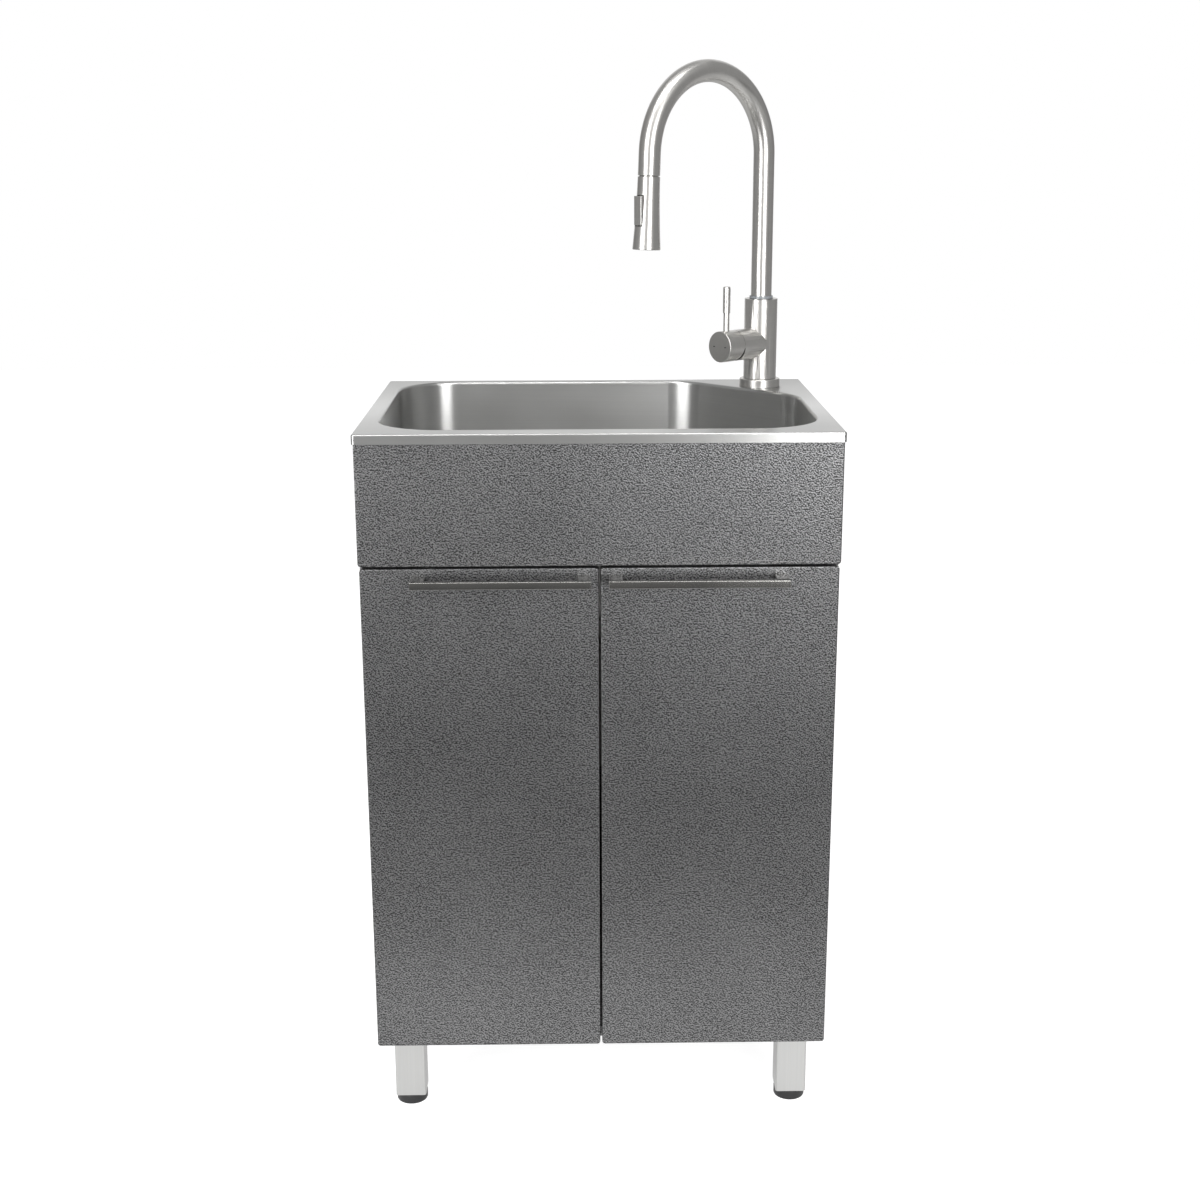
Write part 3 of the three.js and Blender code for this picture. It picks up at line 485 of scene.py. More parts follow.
def clean():
    """In edit mode, merges doubled points and turns every face outwards."""
    bpy.ops.mesh.select_all(action="SELECT")
    bpy.ops.mesh.remove_doubles(threshold=0.002 * MM)
    bpy.ops.mesh.normals_make_consistent(inside=False)


def extrude(x, y, z):
    """In edit mode, draws the selection on by a step."""
    bpy.ops.mesh.extrude_region_move(TRANSFORM_OT_translate={"value": (x, y, z)})


def resize(x, y, z):
    """In edit mode, scales all of a new primitive about its own middle."""
    bpy.ops.transform.resize(value=(x, y, z))


def start_circle(sides, radius, at):
    """In edit mode, a lone circle with all of it selected."""
    bpy.ops.mesh.primitive_circle_add(vertices=sides, radius=radius, location=at, fill_type="NOTHING")
    into_edit("EDGE")
    bpy.ops.mesh.select_all(action="SELECT")


def settle(obj, place=None):
    """Puts the object's place into its mesh, so that the object stands at the origin."""
    only(obj)
    if place is not None:
        obj.matrix_world = place @ obj.matrix_world
    bpy.ops.object.transform_apply(location=True, rotation=True, scale=True)
    return obj


def apply(obj, kind, **settings):
    """Adds a modifier, sets it and applies it."""
    only(obj)
    modifier = obj.modifiers.new("step", kind)
    for key, value in settings.items():
        setattr(modifier, key, value)
    bpy.ops.object.modifier_apply(modifier=modifier.name)
    return obj


def soften(obj, width, segments=3, angle=32):
    """Rounds the edges that turn by more than the angle."""
    return apply(
        obj, "BEVEL", width=width, segments=segments, limit_method="ANGLE",
        angle_limit=math.radians(angle), use_clamp_overlap=True,
    )


def smooth(obj, angle=32, weighted=True):
    """Smooth shading that keeps crisp edges, with the big faces' normals kept flat."""
    only(obj)
    bpy.ops.object.shade_smooth_by_angle(angle=math.radians(angle))
    if weighted:
        apply(obj, "WEIGHTED_NORMAL", keep_sharp=True, weight=60)
    return obj


def walled(obj, thickness):
    """Gives a bare sheet its thickness, inwards."""
    return apply(obj, "SOLIDIFY", thickness=thickness, offset=-1, use_even_offset=True)


def join_pieces(first, *others):
    """Makes one object of several."""
    bpy.ops.object.select_all(action="DESELECT")
    for obj in (first, *others):
        obj.select_set(True)
    bpy.context.view_layer.objects.active = first
    bpy.ops.object.join()
    return first


def combined(body, tool, operation):
    """Joins or cuts one closed mesh with another."""
    apply(body, "BOOLEAN", operation=operation, solver="EXACT", object=tool)
    bpy.data.objects.remove(tool, do_unlink=True)
    return body


def store(obj, name, measure):
    """Keeps a number on every point, worked out from its place."""
    values = [measure(vertex.co) for vertex in obj.data.vertices]
    obj.data.attributes.new(name, "FLOAT", "POINT").data.foreach_set("value", values)
    return obj


def brush(obj, measure):
    """Smooths a steel piece and keeps its distance across the brushed lines."""
    return store(smooth(obj), "across", measure)


def dress(obj, name, body, slot, finish, *nodes):
    """Names a finished piece, gives it its material, and seats it on its body in place of CAD nodes."""
    obj.name = name
    obj.data.name = name
    obj.data.materials.clear()
    obj.data.materials.append(Finishes.get(finish))
    if nodes:
        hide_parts(*nodes)
    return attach(obj, body)


def turned(profile, steps=None, closed=False):
    """A piece turned about +Z: its half section is drawn point by point in (radius, height) and spun."""
    steps = steps or bpy.context.scene.sink_sizes.turned_steps
    first = Vector((profile[0][0], 0, profile[0][1]))
    bpy.ops.mesh.primitive_plane_add(size=MM, location=first)
    into_edit("VERT")
    bpy.ops.mesh.select_all(action="SELECT")
    bpy.ops.mesh.merge(type="CENTER")
    route = list(profile[1:]) + ([profile[0]] if closed else [])
    for (r0, z0), (r1, z1) in zip(profile, route):
        extrude(r1 - r0, 0, z1 - z0)
    bpy.ops.mesh.select_all(action="SELECT")
    bpy.ops.mesh.spin(steps=steps, angle=TURN, center=(0, 0, 0), axis=(0, 0, 1))
    clean()
    return settle(out_of_edit())


def millimetres(points):
    return [tuple(value * MM for value in point) for point in points]


def cylinder(radius, bottom, top, steps=None):
    """A solid cylinder on +Z."""
    return turned([(0, bottom), (radius, bottom), (radius, top), (0, top)], steps)


def ring(inner, outer, bottom, top, steps=None):
    """A flat-sided ring about +Z."""
    return turned([(inner, bottom), (outer, bottom), (outer, top), (inner, top)], steps, closed=True)


def rounded(outer, top, radius, steps):
    """Points of a profile's rounded upper edge, from its side to its top."""
    turns = [QUARTER * k / steps for k in range(steps + 1)]
    return [
        (outer - radius * (1 - math.cos(turn)), top - radius * (1 - math.sin(turn))) for turn in turns
    ]


def quarter_steps(radius, steps):
    """The steps of a quarter circle, each along the way it starts in and the way it ends in."""
    turns = [QUARTER * k / steps for k in range(steps + 1)]
    return [
        (radius * (math.sin(after) - math.sin(before)), radius * (math.cos(before) - math.cos(after)))
        for before, after in zip(turns, turns[1:])
    ]


def ring_of(count, make, phase=0.0):
    """Copies of a small shape set evenly round the Z axis, as one mesh."""
    copies = [settle(make(), Matrix.Rotation(TURN * (k + phase) / count, 4, "Z")) for k in range(count)]
    return join_pieces(*copies)


def box(corner, opposite):
    """A cuboid between two corners, left active to be shaped further."""
    corner, opposite = Vector(corner), Vector(opposite)
    bpy.ops.mesh.primitive_cube_add(size=1, location=(corner + opposite) / 2)
    size = opposite - corner
    into_edit()
    bpy.ops.mesh.select_all(action="SELECT")
    resize(*(abs(part) for part in size))
    return settle(out_of_edit())


def round_uprights(least, radius, segments):
    """In edit mode, rounds the edges that climb more than the least height."""
    pick(lambda edge: climb(edge) > least, "edges")
    bpy.ops.mesh.bevel(offset=radius, segments=segments, affect="EDGES", offset_type="OFFSET")


def smooth_copy(node):
    """A copy of a frame node with its points merged and its curved faces shaded smooth."""
    source = frame["nodes"][node]
    obj = source.copy()
    obj.data = source.data.copy()
    obj.parent = None
    for key in list(obj.keys()):
        del obj[key]
    bpy.context.scene.collection.objects.link(obj)
    only(obj)
    into_edit("VERT")
    bpy.ops.mesh.select_all(action="SELECT")
    bpy.ops.mesh.remove_doubles(threshold=0.005 * MM)
    out_of_edit()
    return smooth(obj, 30)


# ------------------------------------------------------------------ stage


class SINK_OT_stage(bpy.types.Operator):
    """Pale floor, soft studio light and the camera at the photograph's angle"""

    bl_idname = "sink.stage"
    bl_label = "Studio stage"

    # Camera found by fitting the sink's own corners in the photograph.
    EYE = Vector((-0.027314, -2.144161, 1.197889))
    YAW = 0.8104
    PITCH = 15.0614
    ROLL = 0.1962
    FOCAL_PIXELS = 1739.92
    PICTURE_PIXELS = 1200

    # The floor's front edge, its own light to the camera and in metal, and what of that fades far off.
    FLOOR_EDGE = -0.75
    FLOOR_GLOW = 0.84
    FLOOR_MIRRORED = 0.55
    FLOOR_FADE = 0.6
    # What metal sees of the studio: level with it, to its sides, below and overhead, where white is 1.
    ROOM = 0.66
    SIDES = 0.36
    DEPTHS = 0.05
    ZENITH = 0.36
    # The even light of the room on everything.
    PLAIN = 0.5
    # Each panel's place, the point it faces, its width, height and radiance.
    SOFTBOXES = {
        "softbox_left": ((-1.36, -1.64, 1.35), (0, 0, 1.1), 0.95, 1.9, 7.5),
        "softbox_front": ((0.94, -2.33, 1.35), (0, 0, 1.1), 0.95, 1.9, 7.5),
        "softbox_top": ((0, -0.7, 3.0), (0, 0, 0.8), 2.0, 0.45, 9.0),
    }

    def camera(self):
        yaw, pitch, roll = (math.radians(angle) for angle in (self.YAW, self.PITCH, self.ROLL))
        bpy.ops.object.camera_add(location=self.EYE)
        camera = bpy.context.active_object
        camera.name = "camera"
        level = Matrix.Rotation(-yaw, 4, "Z") @ Matrix.Rotation(QUARTER - pitch, 4, "X")
        camera.matrix_world = Matrix.Translation(self.EYE) @ level @ Matrix.Rotation(-roll, 4, "Z")
        camera.data.sensor_fit = "HORIZONTAL"
        camera.data.lens = self.FOCAL_PIXELS / self.PICTURE_PIXELS * camera.data.sensor_width
        camera.data.clip_start = 0.05
        camera.data.clip_end = 60
        bpy.context.scene.camera = camera

    def softbox(self, name, at, target, width, tall, radiance):
        """A lit panel that faces a point, sized in metres, whose radiance is that of white paper at 1."""
        bpy.ops.object.light_add(type="AREA", location=at)
        light = bpy.context.active_object
        light.name = name
        turn = (Vector(at) - Vector(target)).to_track_quat("Z", "Y").to_matrix().to_4x4()
        light.matrix_world = Matrix.Translation(at) @ turn
        light.data.shape = "RECTANGLE"
        light.data.size = width
        light.data.size_y = tall
        light.data.energy = radiance * math.pi * width * tall

    def floor(self):
        """White sheet that ends between the sink and the camera, kept white but for the sink's shadow."""
        near, far, half = self.FLOOR_EDGE, 7.0, 5.0
        bpy.ops.mesh.primitive_plane_add(size=1, location=(0, (near + far) / 2, 0))
        floor = bpy.context.active_object
        into_edit()
        resize(2 * half, far - near, 1)
        settle(out_of_edit())
        floor.name = "floor"
        paint = Paint("studio_floor")
        paper = paint.noise(paint.place(), 3.0).mixed((0.5, 0.5, 0.5), (0.52, 0.52, 0.52))
        lit = paint.node("BsdfDiffuse", Color=paper)
        seen, mirrored, through = self.kinds(paint.tree)
        away = paint.node("VectorMath", {"operation": "LENGTH"}, output=1, i0=paint.place())
        near_sink = 1 - away.eased(0.6, 1.2) * self.FLOOR_FADE
        glow = seen.math("MAXIMUM", through) * self.FLOOR_GLOW + mirrored * near_sink * self.FLOOR_MIRRORED
        shown = paint.node("Emission", Color=(1, 1, 1, 1), Strength=glow)
        paint.node("OutputMaterial", Surface=paint.node("AddShader", i0=lit, i1=shown))
        floor.data.materials.append(paint.material)

    def kinds(self, tree):
        """Each 1 for what is seen straight, in a mirror or through glass."""
        outputs = ("Is Camera Ray", "Is Glossy Ray", "Is Transmission Ray")
        return [Wire.node(tree, "LightPath", output=output) for output in outputs]

    def world(self):
        """White to the camera. Metal sees a white cove behind, and a dimmer room above and in front."""
        world = bpy.data.worlds.new("studio")
        bpy.context.scene.world = world
        world.use_nodes = True
        tree = world.node_tree
        tree.nodes.clear()
        way = Wire.node(tree, "TexCoord", output=0)
        x, y, z = (Wire.node(tree, "SeparateXYZ", output=k, Vector=way) for k in range(3))
        seen, mirrored, through = self.kinds(tree)
        spread = x.math("ABSOLUTE")
        side = spread.eased(0.3, 1.0)
        low = 1 - z.eased(-0.3, -0.08)
        behind = y.eased(0.1, 0.75)
        room = (self.ROOM - side * (self.ROOM - self.SIDES)) * (1 - behind * 0.4)
        room = room - low * (room - self.DEPTHS)
        cove = behind * (1 - spread.eased(0.3, 0.6))
        overhead = z.eased(0.5, 0.8)
        level = room + cove * (1 - room)
        reflected = level - overhead * (level - self.ZENITH)
        straight = seen.math("MAXIMUM", through)
        diffuse = 1 - straight.math("MAXIMUM", mirrored)
        strength = straight + mirrored * reflected + diffuse * self.PLAIN
        backdrop = Wire.node(tree, "Background", Color=(1, 1, 1, 1), Strength=strength)
        Wire.node(tree, "OutputWorld", Surface=backdrop)

    def execute(self, context):
        context.scene.view_settings.view_transform = "Standard"
        self.camera()
        self.floor()
        self.world()
        for name, panel in self.SOFTBOXES.items():
            self.softbox(name, *panel)
        return {"FINISHED"}


# ------------------------------------------------------------------ cabinet


class SINK_OT_cabinet(bpy.types.Operator):
    """Hammered coat on the boards of the cabinet and its doors"""

    bl_idname = "sink.cabinet"
    bl_label = "Cabinet boards"

    BOARDS = (
        "left_side_panel", "right_side_panel", "bottom_panel", "fascia_panel", "front_rail",
        "upper_back_rail", "lower_back_panel", "left_door", "right_door",
    )

    def execute(self, context):
        for name in self.BOARDS:
            board = frame["nodes"][name]
            board.data.materials.clear()
            board.data.materials.append(Finishes.get("pewter"))
            edge = board.modifiers.new("soft_edges", "BEVEL")
            edge.width = bpy.context.scene.sink_sizes.board_edge
            edge.segments = 3
            edge.limit_method = "ANGLE"
            edge.angle_limit = math.radians(60)
            edge.harden_normals = True
        return {"FINISHED"}


# ------------------------------------------------------------------ legs


class SINK_OT_legs(bpy.types.Operator):
    """Four square tube legs on screw plates, each with its black glide"""

    bl_idname = "sink.legs"
    bl_label = "Legs and glides"

    TUBE_HALF = 19 * MM
    TUBE_WALL = 1.5 * MM
    PLATE = 3 * MM
    PLATE_CORNER = 5 * MM
    SEAT_GAP = 0.0001 * MM
    SCREW_INSET = 5.5 * MM
    SCREW_TOP = 3.05 * MM
    SCREW_HEAD = millimetres([[0, -2.2], [2.2, -2.2], [3.4, -1.5], [3.8, 0], [0, 0]])
    SLOT_HALF = Vector((2 * MM, 0.4 * MM, 0.8 * MM))
    SLOT_MIDDLE = -2.2 * MM
    GLIDE_TOP = 12.3 * MM

    def tube(self, node):
        lowest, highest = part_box(node)
        half = Vector((self.TUBE_HALF, self.TUBE_HALF, 0))
        centre = middle(node)
        under = highest.z - self.PLATE
        tube = box((*(centre - half).xy, lowest.z), (*(centre + half).xy, under))
        into_edit()
        round_uprights(10 * MM, bpy.context.scene.sink_sizes.leg_corner, 6)
        pick(lambda face: abs(face.normal.z) > 0.9)
        bpy.ops.mesh.delete(type="ONLY_FACE")
        out_of_edit()
        soften(walled(tube, self.TUBE_WALL), 0.25 * MM, 2, 60)
        plate = box((*lowest.xy, under), (*highest.xy, highest.z - self.SEAT_GAP))
        into_edit()
        round_uprights(MM, self.PLATE_CORNER, 5)
        out_of_edit()
        soften(plate, 0.3 * MM, 2, 60)
        return join_pieces(tube, plate)

    def screw(self, x, y, z):
        """A pan head with a cross cut in it."""
        head = turned(self.SCREW_HEAD, 20)
        for half in (self.SLOT_HALF, self.SLOT_HALF.yxz):
            at = Vector((0, 0, self.SLOT_MIDDLE))
            combined(head, box(at - half, at + half), "DIFFERENCE")
        return settle(head, Matrix.Translation((x, y, z)))

    def screws(self, node):
        """Four pan heads under the plate."""
        lowest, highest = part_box(node)
        inset = self.SCREW_INSET
        return join_pieces(*(
            self.screw(x, y, highest.z - self.SCREW_TOP)
            for x in (lowest.x + inset, highest.x - inset)
            for y in (lowest.y + inset, highest.y - inset)
        ))

    def glide(self, node):
        lowest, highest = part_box(node)
        radius, top = (highest.x - lowest.x) / 2 / MM, self.GLIDE_TOP / MM
        glide = turned(millimetres([
            [0, 0], [radius - 1.6, 0], [radius - 0.6, 0.5], [radius, 1.7],
            [radius, top - 1], [radius - 0.8, top], [0, top],
        ]), 56)
        return settle(glide, Matrix.Translation((*middle(node).xy, lowest.z)))

    def execute(self, context):
        for place in ("front_left", "front_right", "back_left", "back_right"):
            leg = brush(self.tube(f"{place}_leg"), lambda point: point.x + point.y)
            dress(leg, f"{place}_leg_tube", "cabinet", "brushed_steel", "leg_steel", f"{place}_leg")
            glide = smooth(self.glide(f"{place}_glide"))
            dress(glide, f"{place}_leg_glide", "cabinet", "black_plastic", "black", f"{place}_glide")
            heads = smooth(self.screws(f"{place}_leg"))
            dress(heads, f"{place}_leg_screws", "cabinet", "zinc_plate", "zinc")
        return {"FINISHED"}


# ------------------------------------------------------------------ handles


class SINK_OT_handles(bpy.types.Operator):
    """Slim square bars, each on two posts, across the top of the doors"""

    bl_idname = "sink.handles"
    bl_label = "Door handles"

    BAR = 8 * MM
    POST = 16 * MM

    def bar(self, node):
        lowest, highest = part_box(node)
        bar = box(lowest, (highest.x, lowest.y + self.BAR, highest.z))
        into_edit()
        for cut in (lowest.x + self.POST, highest.x - self.POST):
            bpy.ops.mesh.select_all(action="SELECT")
            bpy.ops.mesh.bisect(plane_co=(cut, 0, 0), plane_no=(1, 0, 0))
        inner = lowest.x + self.POST, highest.x - self.POST
        pick(lambda face: face.normal.y > 0.9 and not inner[0] < face_middle(face).x < inner[1])
        extrude(0, highest.y - lowest.y - self.BAR, 0)
        clean()
        out_of_edit()
        return soften(bar, bpy.context.scene.sink_sizes.handle_edge, 4, 40)

    def execute(self, context):
        for side in ("left", "right"):
            node, door = f"{side}_handle", f"{side}_door"
            handle = brush(self.bar(node), lambda point: point.z + point.y)
            dress(handle, f"{side}_door_handle", door, "brushed_steel", "handle_steel", node)
        return {"FINISHED"}


# ------------------------------------------------------------------ hinges


class SINK_OT_hinges(bpy.types.Operator):
    """Concealed cup hinges: smooth copies of their cups, arms and pins"""

    bl_idname = "sink.hinges"
    bl_label = "Cup hinges"

    def execute(self, context):
        for side in ("left", "right"):
            for level in ("lower", "upper"):
                for part, slot in (("cup", "zinc_plate"), ("arm", "zinc_plate"), ("pin", "brushed_steel")):
                    node = f"{side}_{level}_hinge_{part}"
                    body = frame["nodes"][node]["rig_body"]
                    dress(smooth_copy(node), f"{node}_plated", body, slot, "zinc", node)
        return {"FINISHED"}


# ------------------------------------------------------------------ sink


class SINK_OT_sheet(bpy.types.Operator):
    """The pressed sink: folded lip, flat deck, rolled edge and deep bowl with its cut corner"""

    bl_idname = "sink.sheet"
    bl_label = "Deck and bowl"

    LIP = 11.5 * MM
    FOLD = 2 * MM
    CORNER = 3.5 * MM
    HALF = 259 * MM
    FRONT_STRIP = 33 * MM
    BACK_STRIP = 16 * MM
    CUT_LEG = 135 * MM
    FRONT_RADIUS = 78 * MM
    BACK_LEFT_RADIUS = 75 * MM
    CUT_SIDE_RADIUS = 70 * MM
    CUT_BACK_RADIUS = 60 * MM
    FLOOR = 632 * MM
    DRAFT = math.tan(math.radians(1.5))
    WALL_BANDS = 4
    RECESS = millimetres([[61, 628], [58.6, 625.4], [57.4, 625], [45, 625]])
    TAP_HOLE = 17.5 * MM

    def round_corner(self, x, y, offset, segments):
        """Rounds the outline's corner at a place by the length it takes off each side."""
        pick(lambda vertex: math.hypot(vertex.co.x - x, vertex.co.y - y) < 0.5 * MM, "verts")
        bpy.ops.mesh.bevel(
            offset=offset, segments=segments, affect="VERTICES", offset_type="OFFSET", clamp_overlap=False,
        )

    def inset(self, thickness, depth):
        bpy.ops.mesh.inset(thickness=thickness, depth=depth, use_even_offset=True, use_boundary=True)

    def top_face(self, height):
        """Selects the flat face of many corners that lies at a height."""
        pick(lambda face: len(face.verts) > 8 and abs(face_middle(face).z - height) < FLAT)

    def lip(self):
        """Flat outline drawn up from the lip's free edge and folded over to the deck."""
        base = DECK_TOP - self.LIP
        bpy.ops.mesh.primitive_plane_add(size=1, location=(0, (DECK_FRONT + DECK_BACK) / 2, base))
        into_edit()
        resize(2 * DECK_HALF_WIDTH, DECK_BACK - DECK_FRONT, 1)
        settle(out_of_edit())
        into_edit("VERT")
        for x in (-DECK_HALF_WIDTH, DECK_HALF_WIDTH):
            for y in (DECK_FRONT, DECK_BACK):
                self.round_corner(x, y, self.CORNER, 8)
        pick(lambda face: True)
        extrude(0, 0, self.LIP - self.FOLD)
        self.top_face(base)
        bpy.ops.mesh.delete(type="ONLY_FACE")
        self.top_face(DECK_TOP - self.FOLD)
        for rise, run in quarter_steps(self.FOLD, 6):
            self.inset(run, rise)
        bpy.ops.mesh.delete(type="ONLY_FACE")

    def bowl_outline(self):
        """The bowl's outline where it leaves the deck, one face with five rounded corners."""
        roll = bpy.context.scene.sink_sizes.roll
        half = self.HALF + roll
        front = DECK_FRONT + self.FRONT_STRIP - roll
        back = DECK_BACK - self.BACK_STRIP + roll
        bpy.ops.mesh.primitive_plane_add(size=1, location=(0, (front + back) / 2, DECK_TOP))
        resize(2 * half, back - front, 1)
        leg = self.CUT_LEG + roll * (2 - math.sqrt(2))
        self.round_corner(half, back, leg, 1)
        eighth = math.tan(math.radians(22.5))
        self.round_corner(half, back - leg, (self.CUT_SIDE_RADIUS + roll) * eighth, 14)
        self.round_corner(half - leg, back, (self.CUT_BACK_RADIUS + roll) * eighth, 14)
        self.round_corner(-half, back, self.BACK_LEFT_RADIUS + roll, 26)
        self.round_corner(-half, front, self.FRONT_RADIUS + roll, 26)
        self.round_corner(half, front, self.FRONT_RADIUS + roll, 26)

    def bowl(self):
        sizes = bpy.context.scene.sink_sizes
        self.bowl_outline()
        self.top_face(DECK_TOP)
        for run, drop in quarter_steps(sizes.roll, 6):
            self.inset(run, -drop)
        wall = DECK_TOP - sizes.roll - self.FLOOR - sizes.fillet
        for _ in range(self.WALL_BANDS):
            self.inset(wall * self.DRAFT / self.WALL_BANDS, -wall / self.WALL_BANDS)
        for drop, run in quarter_steps(sizes.fillet, 10):
            self.inset(run, -drop)
        bpy.ops.mesh.delete(type="ONLY_FACE")

    def boundary(self, height):
        """Selects the open edges at a height."""
        return pick(
            lambda edge: len(edge.link_faces) < 2
            and all(abs(vertex.co.z - height) < FLAT for vertex in edge.verts),
            "edges",
        )

    def floor_and_drain(self):
        sides = self.boundary(self.FLOOR)
        (outer, height), *rest = self.RECESS
        bpy.ops.mesh.primitive_circle_add(
            vertices=sides, radius=outer, location=(DRAIN.x, DRAIN.y, height), fill_type="NOTHING",
        )
        for radius, level in rest:
            extrude(0, 0, level - height)
            ratio = radius / outer
            bpy.ops.transform.resize(value=(ratio, ratio, 1), center_override=(DRAIN.x, DRAIN.y, level))
            outer, height = radius, level
        levels = self.FLOOR, self.RECESS[0][1]
        pick(
            lambda edge: edge.is_boundary and all(
                min(abs(vertex.co.z - level) for level in levels) < FLAT for vertex in edge.verts
            ),
            "edges",
        )
        bpy.ops.mesh.bridge_edge_loops(number_cuts=6, interpolation="LINEAR")

    def deck(self):
        bpy.ops.mesh.primitive_circle_add(
            vertices=32, radius=self.TAP_HOLE, location=TAP, fill_type="NOTHING",
        )
        self.boundary(DECK_TOP)
        bpy.ops.mesh.fill(use_beauty=True)

    def brushing(self, point):
        """Lines run along the deck and round the bowl's walls."""
        on_wall = self.FLOOR + 2 * MM < point.z < DECK_TOP - 0.2 * MM
        return point.z if on_wall else point.y

    def execute(self, context):
        self.lip()
        self.bowl()
        self.floor_and_drain()
        self.deck()
        clean()
        pick(lambda face: abs(face.normal.z) > 0.9 and face_middle(face).z > DECK_TOP - FLAT)
        mesh = bmesh.from_edit_mesh(bpy.context.edit_object.data)
        if sum(face.normal.z * face.calc_area() for face in mesh.faces if face.select) < 0:
            bpy.ops.mesh.select_all(action="SELECT")
            bpy.ops.mesh.flip_normals()
        sink = out_of_edit()
        walled(sink, context.scene.sink_sizes.sheet)
        store(smooth(sink, 40), "across", self.brushing)
        dress(sink, "pressed_sink", "cabinet", "sink_steel", "sink_steel", "sink")
        return {"FINISHED"}


# ------------------------------------------------------------------ strainer


class SINK_OT_strainer(bpy.types.Operator):
    """Basket strainer in the bowl's floor, with its basket, plug, gasket and locknut"""

    bl_idname = "sink.strainer"
    bl_label = "Basket strainer"

    # Half sections as radius and height, from the drain's axis and the floor that the cabinet stands on.
    CUP = millimetres([
        [56.5, 626.8], [56.5, 625.3], [43.5, 625.3], [43.5, 577], [21.4, 562.5], [21.4, 545], [18, 545],
        [18, 564.5], [38, 576], [41, 581], [41, 612], [42, 624.4], [44.2, 626.6], [52, 627.3],
    ])
    BASKET = millimetres([
        [4.5, 596], [37.6, 596], [39, 596.5], [39.5, 598], [39.5, 622.3], [43.9, 626.7], [44.2, 627.3],
        [43.6, 628.1], [42.8, 627.9], [38.3, 622.9], [38.3, 598.4], [37.5, 597.2], [4.5, 597.2],
    ])
    PLUG = millimetres([
        [0, 590], [19, 590], [20, 591], [20, 595.4], [4, 595.4],
        [4, 618], [9, 622], [9, 625], [7, 627], [0, 627],
    ])
    SLOTS = 16
    SLOT = millimetres([[30, -2, 601], [45, 2, 615]])
    HOLE_RINGS = ((10, 14 * MM), (16, 22 * MM), (22, 30.5 * MM))
    HOLE_RADIUS = 2.1 * MM
    GASKET_BORE = 45.5 * MM
    NUT_BORE = 41.8 * MM
    LUG_REACH = 7 * MM
    LUG_HALF = 5 * MM

    def basket(self):
        """Thin cup with a rolled rim, slots round its wall and rings of holes in its floor."""
        cup = turned(self.BASKET, closed=True)
        combined(cup, ring_of(self.SLOTS, lambda: box(*self.SLOT)), "DIFFERENCE")
        floor = self.BASKET[0][1]
        for count, radius in self.HOLE_RINGS:
            def hole(out=Matrix.Translation((radius, 0, 0))):
                return settle(cylinder(self.HOLE_RADIUS, floor - 6 * MM, floor + 4 * MM, 10), out)
            combined(cup, ring_of(count, hole, 0.5), "DIFFERENCE")
        return cup

    def locknut(self):
        """Wide thin nut with six lugs to turn it by."""
        lowest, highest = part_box("strainer_locknut")
        outer = (highest.x - lowest.x) / 2
        rim = outer - self.LUG_REACH
        nut = ring(self.NUT_BORE, rim, lowest.z, highest.z)
        lugs = ring_of(6, lambda: box(
            (rim - 2 * MM, -self.LUG_HALF, lowest.z), (outer - 0.4 * MM, self.LUG_HALF, highest.z),
        ))
        return soften(combined(nut, lugs, "UNION"), 0.6 * MM, 2, 30)

    def execute(self, context):
        drain = Matrix.Translation(DRAIN)

        def from_axis(point):
            return math.hypot(point.x - DRAIN.x, point.y - DRAIN.y) + point.z

        cup = soften(settle(turned(self.CUP, closed=True), drain), 0.5 * MM, 3, 25)
        dress(brush(cup, from_axis), "strainer_cup", "cabinet", "brushed_steel", "tap_steel", "strainer_body")
        lowest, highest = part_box("strainer_gasket")
        gasket = ring(self.GASKET_BORE, (highest.x - lowest.x) / 2, lowest.z, highest.z)
        soften(settle(gasket, drain), 0.6 * MM, 3)
        dress(smooth(gasket), "strainer_gasket_ring", "cabinet", "black_rubber", "rubber", "strainer_gasket")
        locknut = smooth(settle(self.locknut(), drain))
        dress(locknut, "strainer_lock_ring", "cabinet", "zinc_plate", "zinc", "strainer_locknut")
        basket = smooth(settle(self.basket(), drain), weighted=False)
        store(basket, "across", from_axis)
        dress(basket, "lift_out_basket", "strainer_basket", "brushed_steel", "tap_steel", "strainer_basket")
        plug = soften(settle(turned(self.PLUG, 40), drain), 0.5 * MM, 3, 25)
        dress(smooth(plug), "basket_stopper", "strainer_basket", "black_plastic", "black", "basket_plug")
        return {"FINISHED"}


# ------------------------------------------------------------------ waste


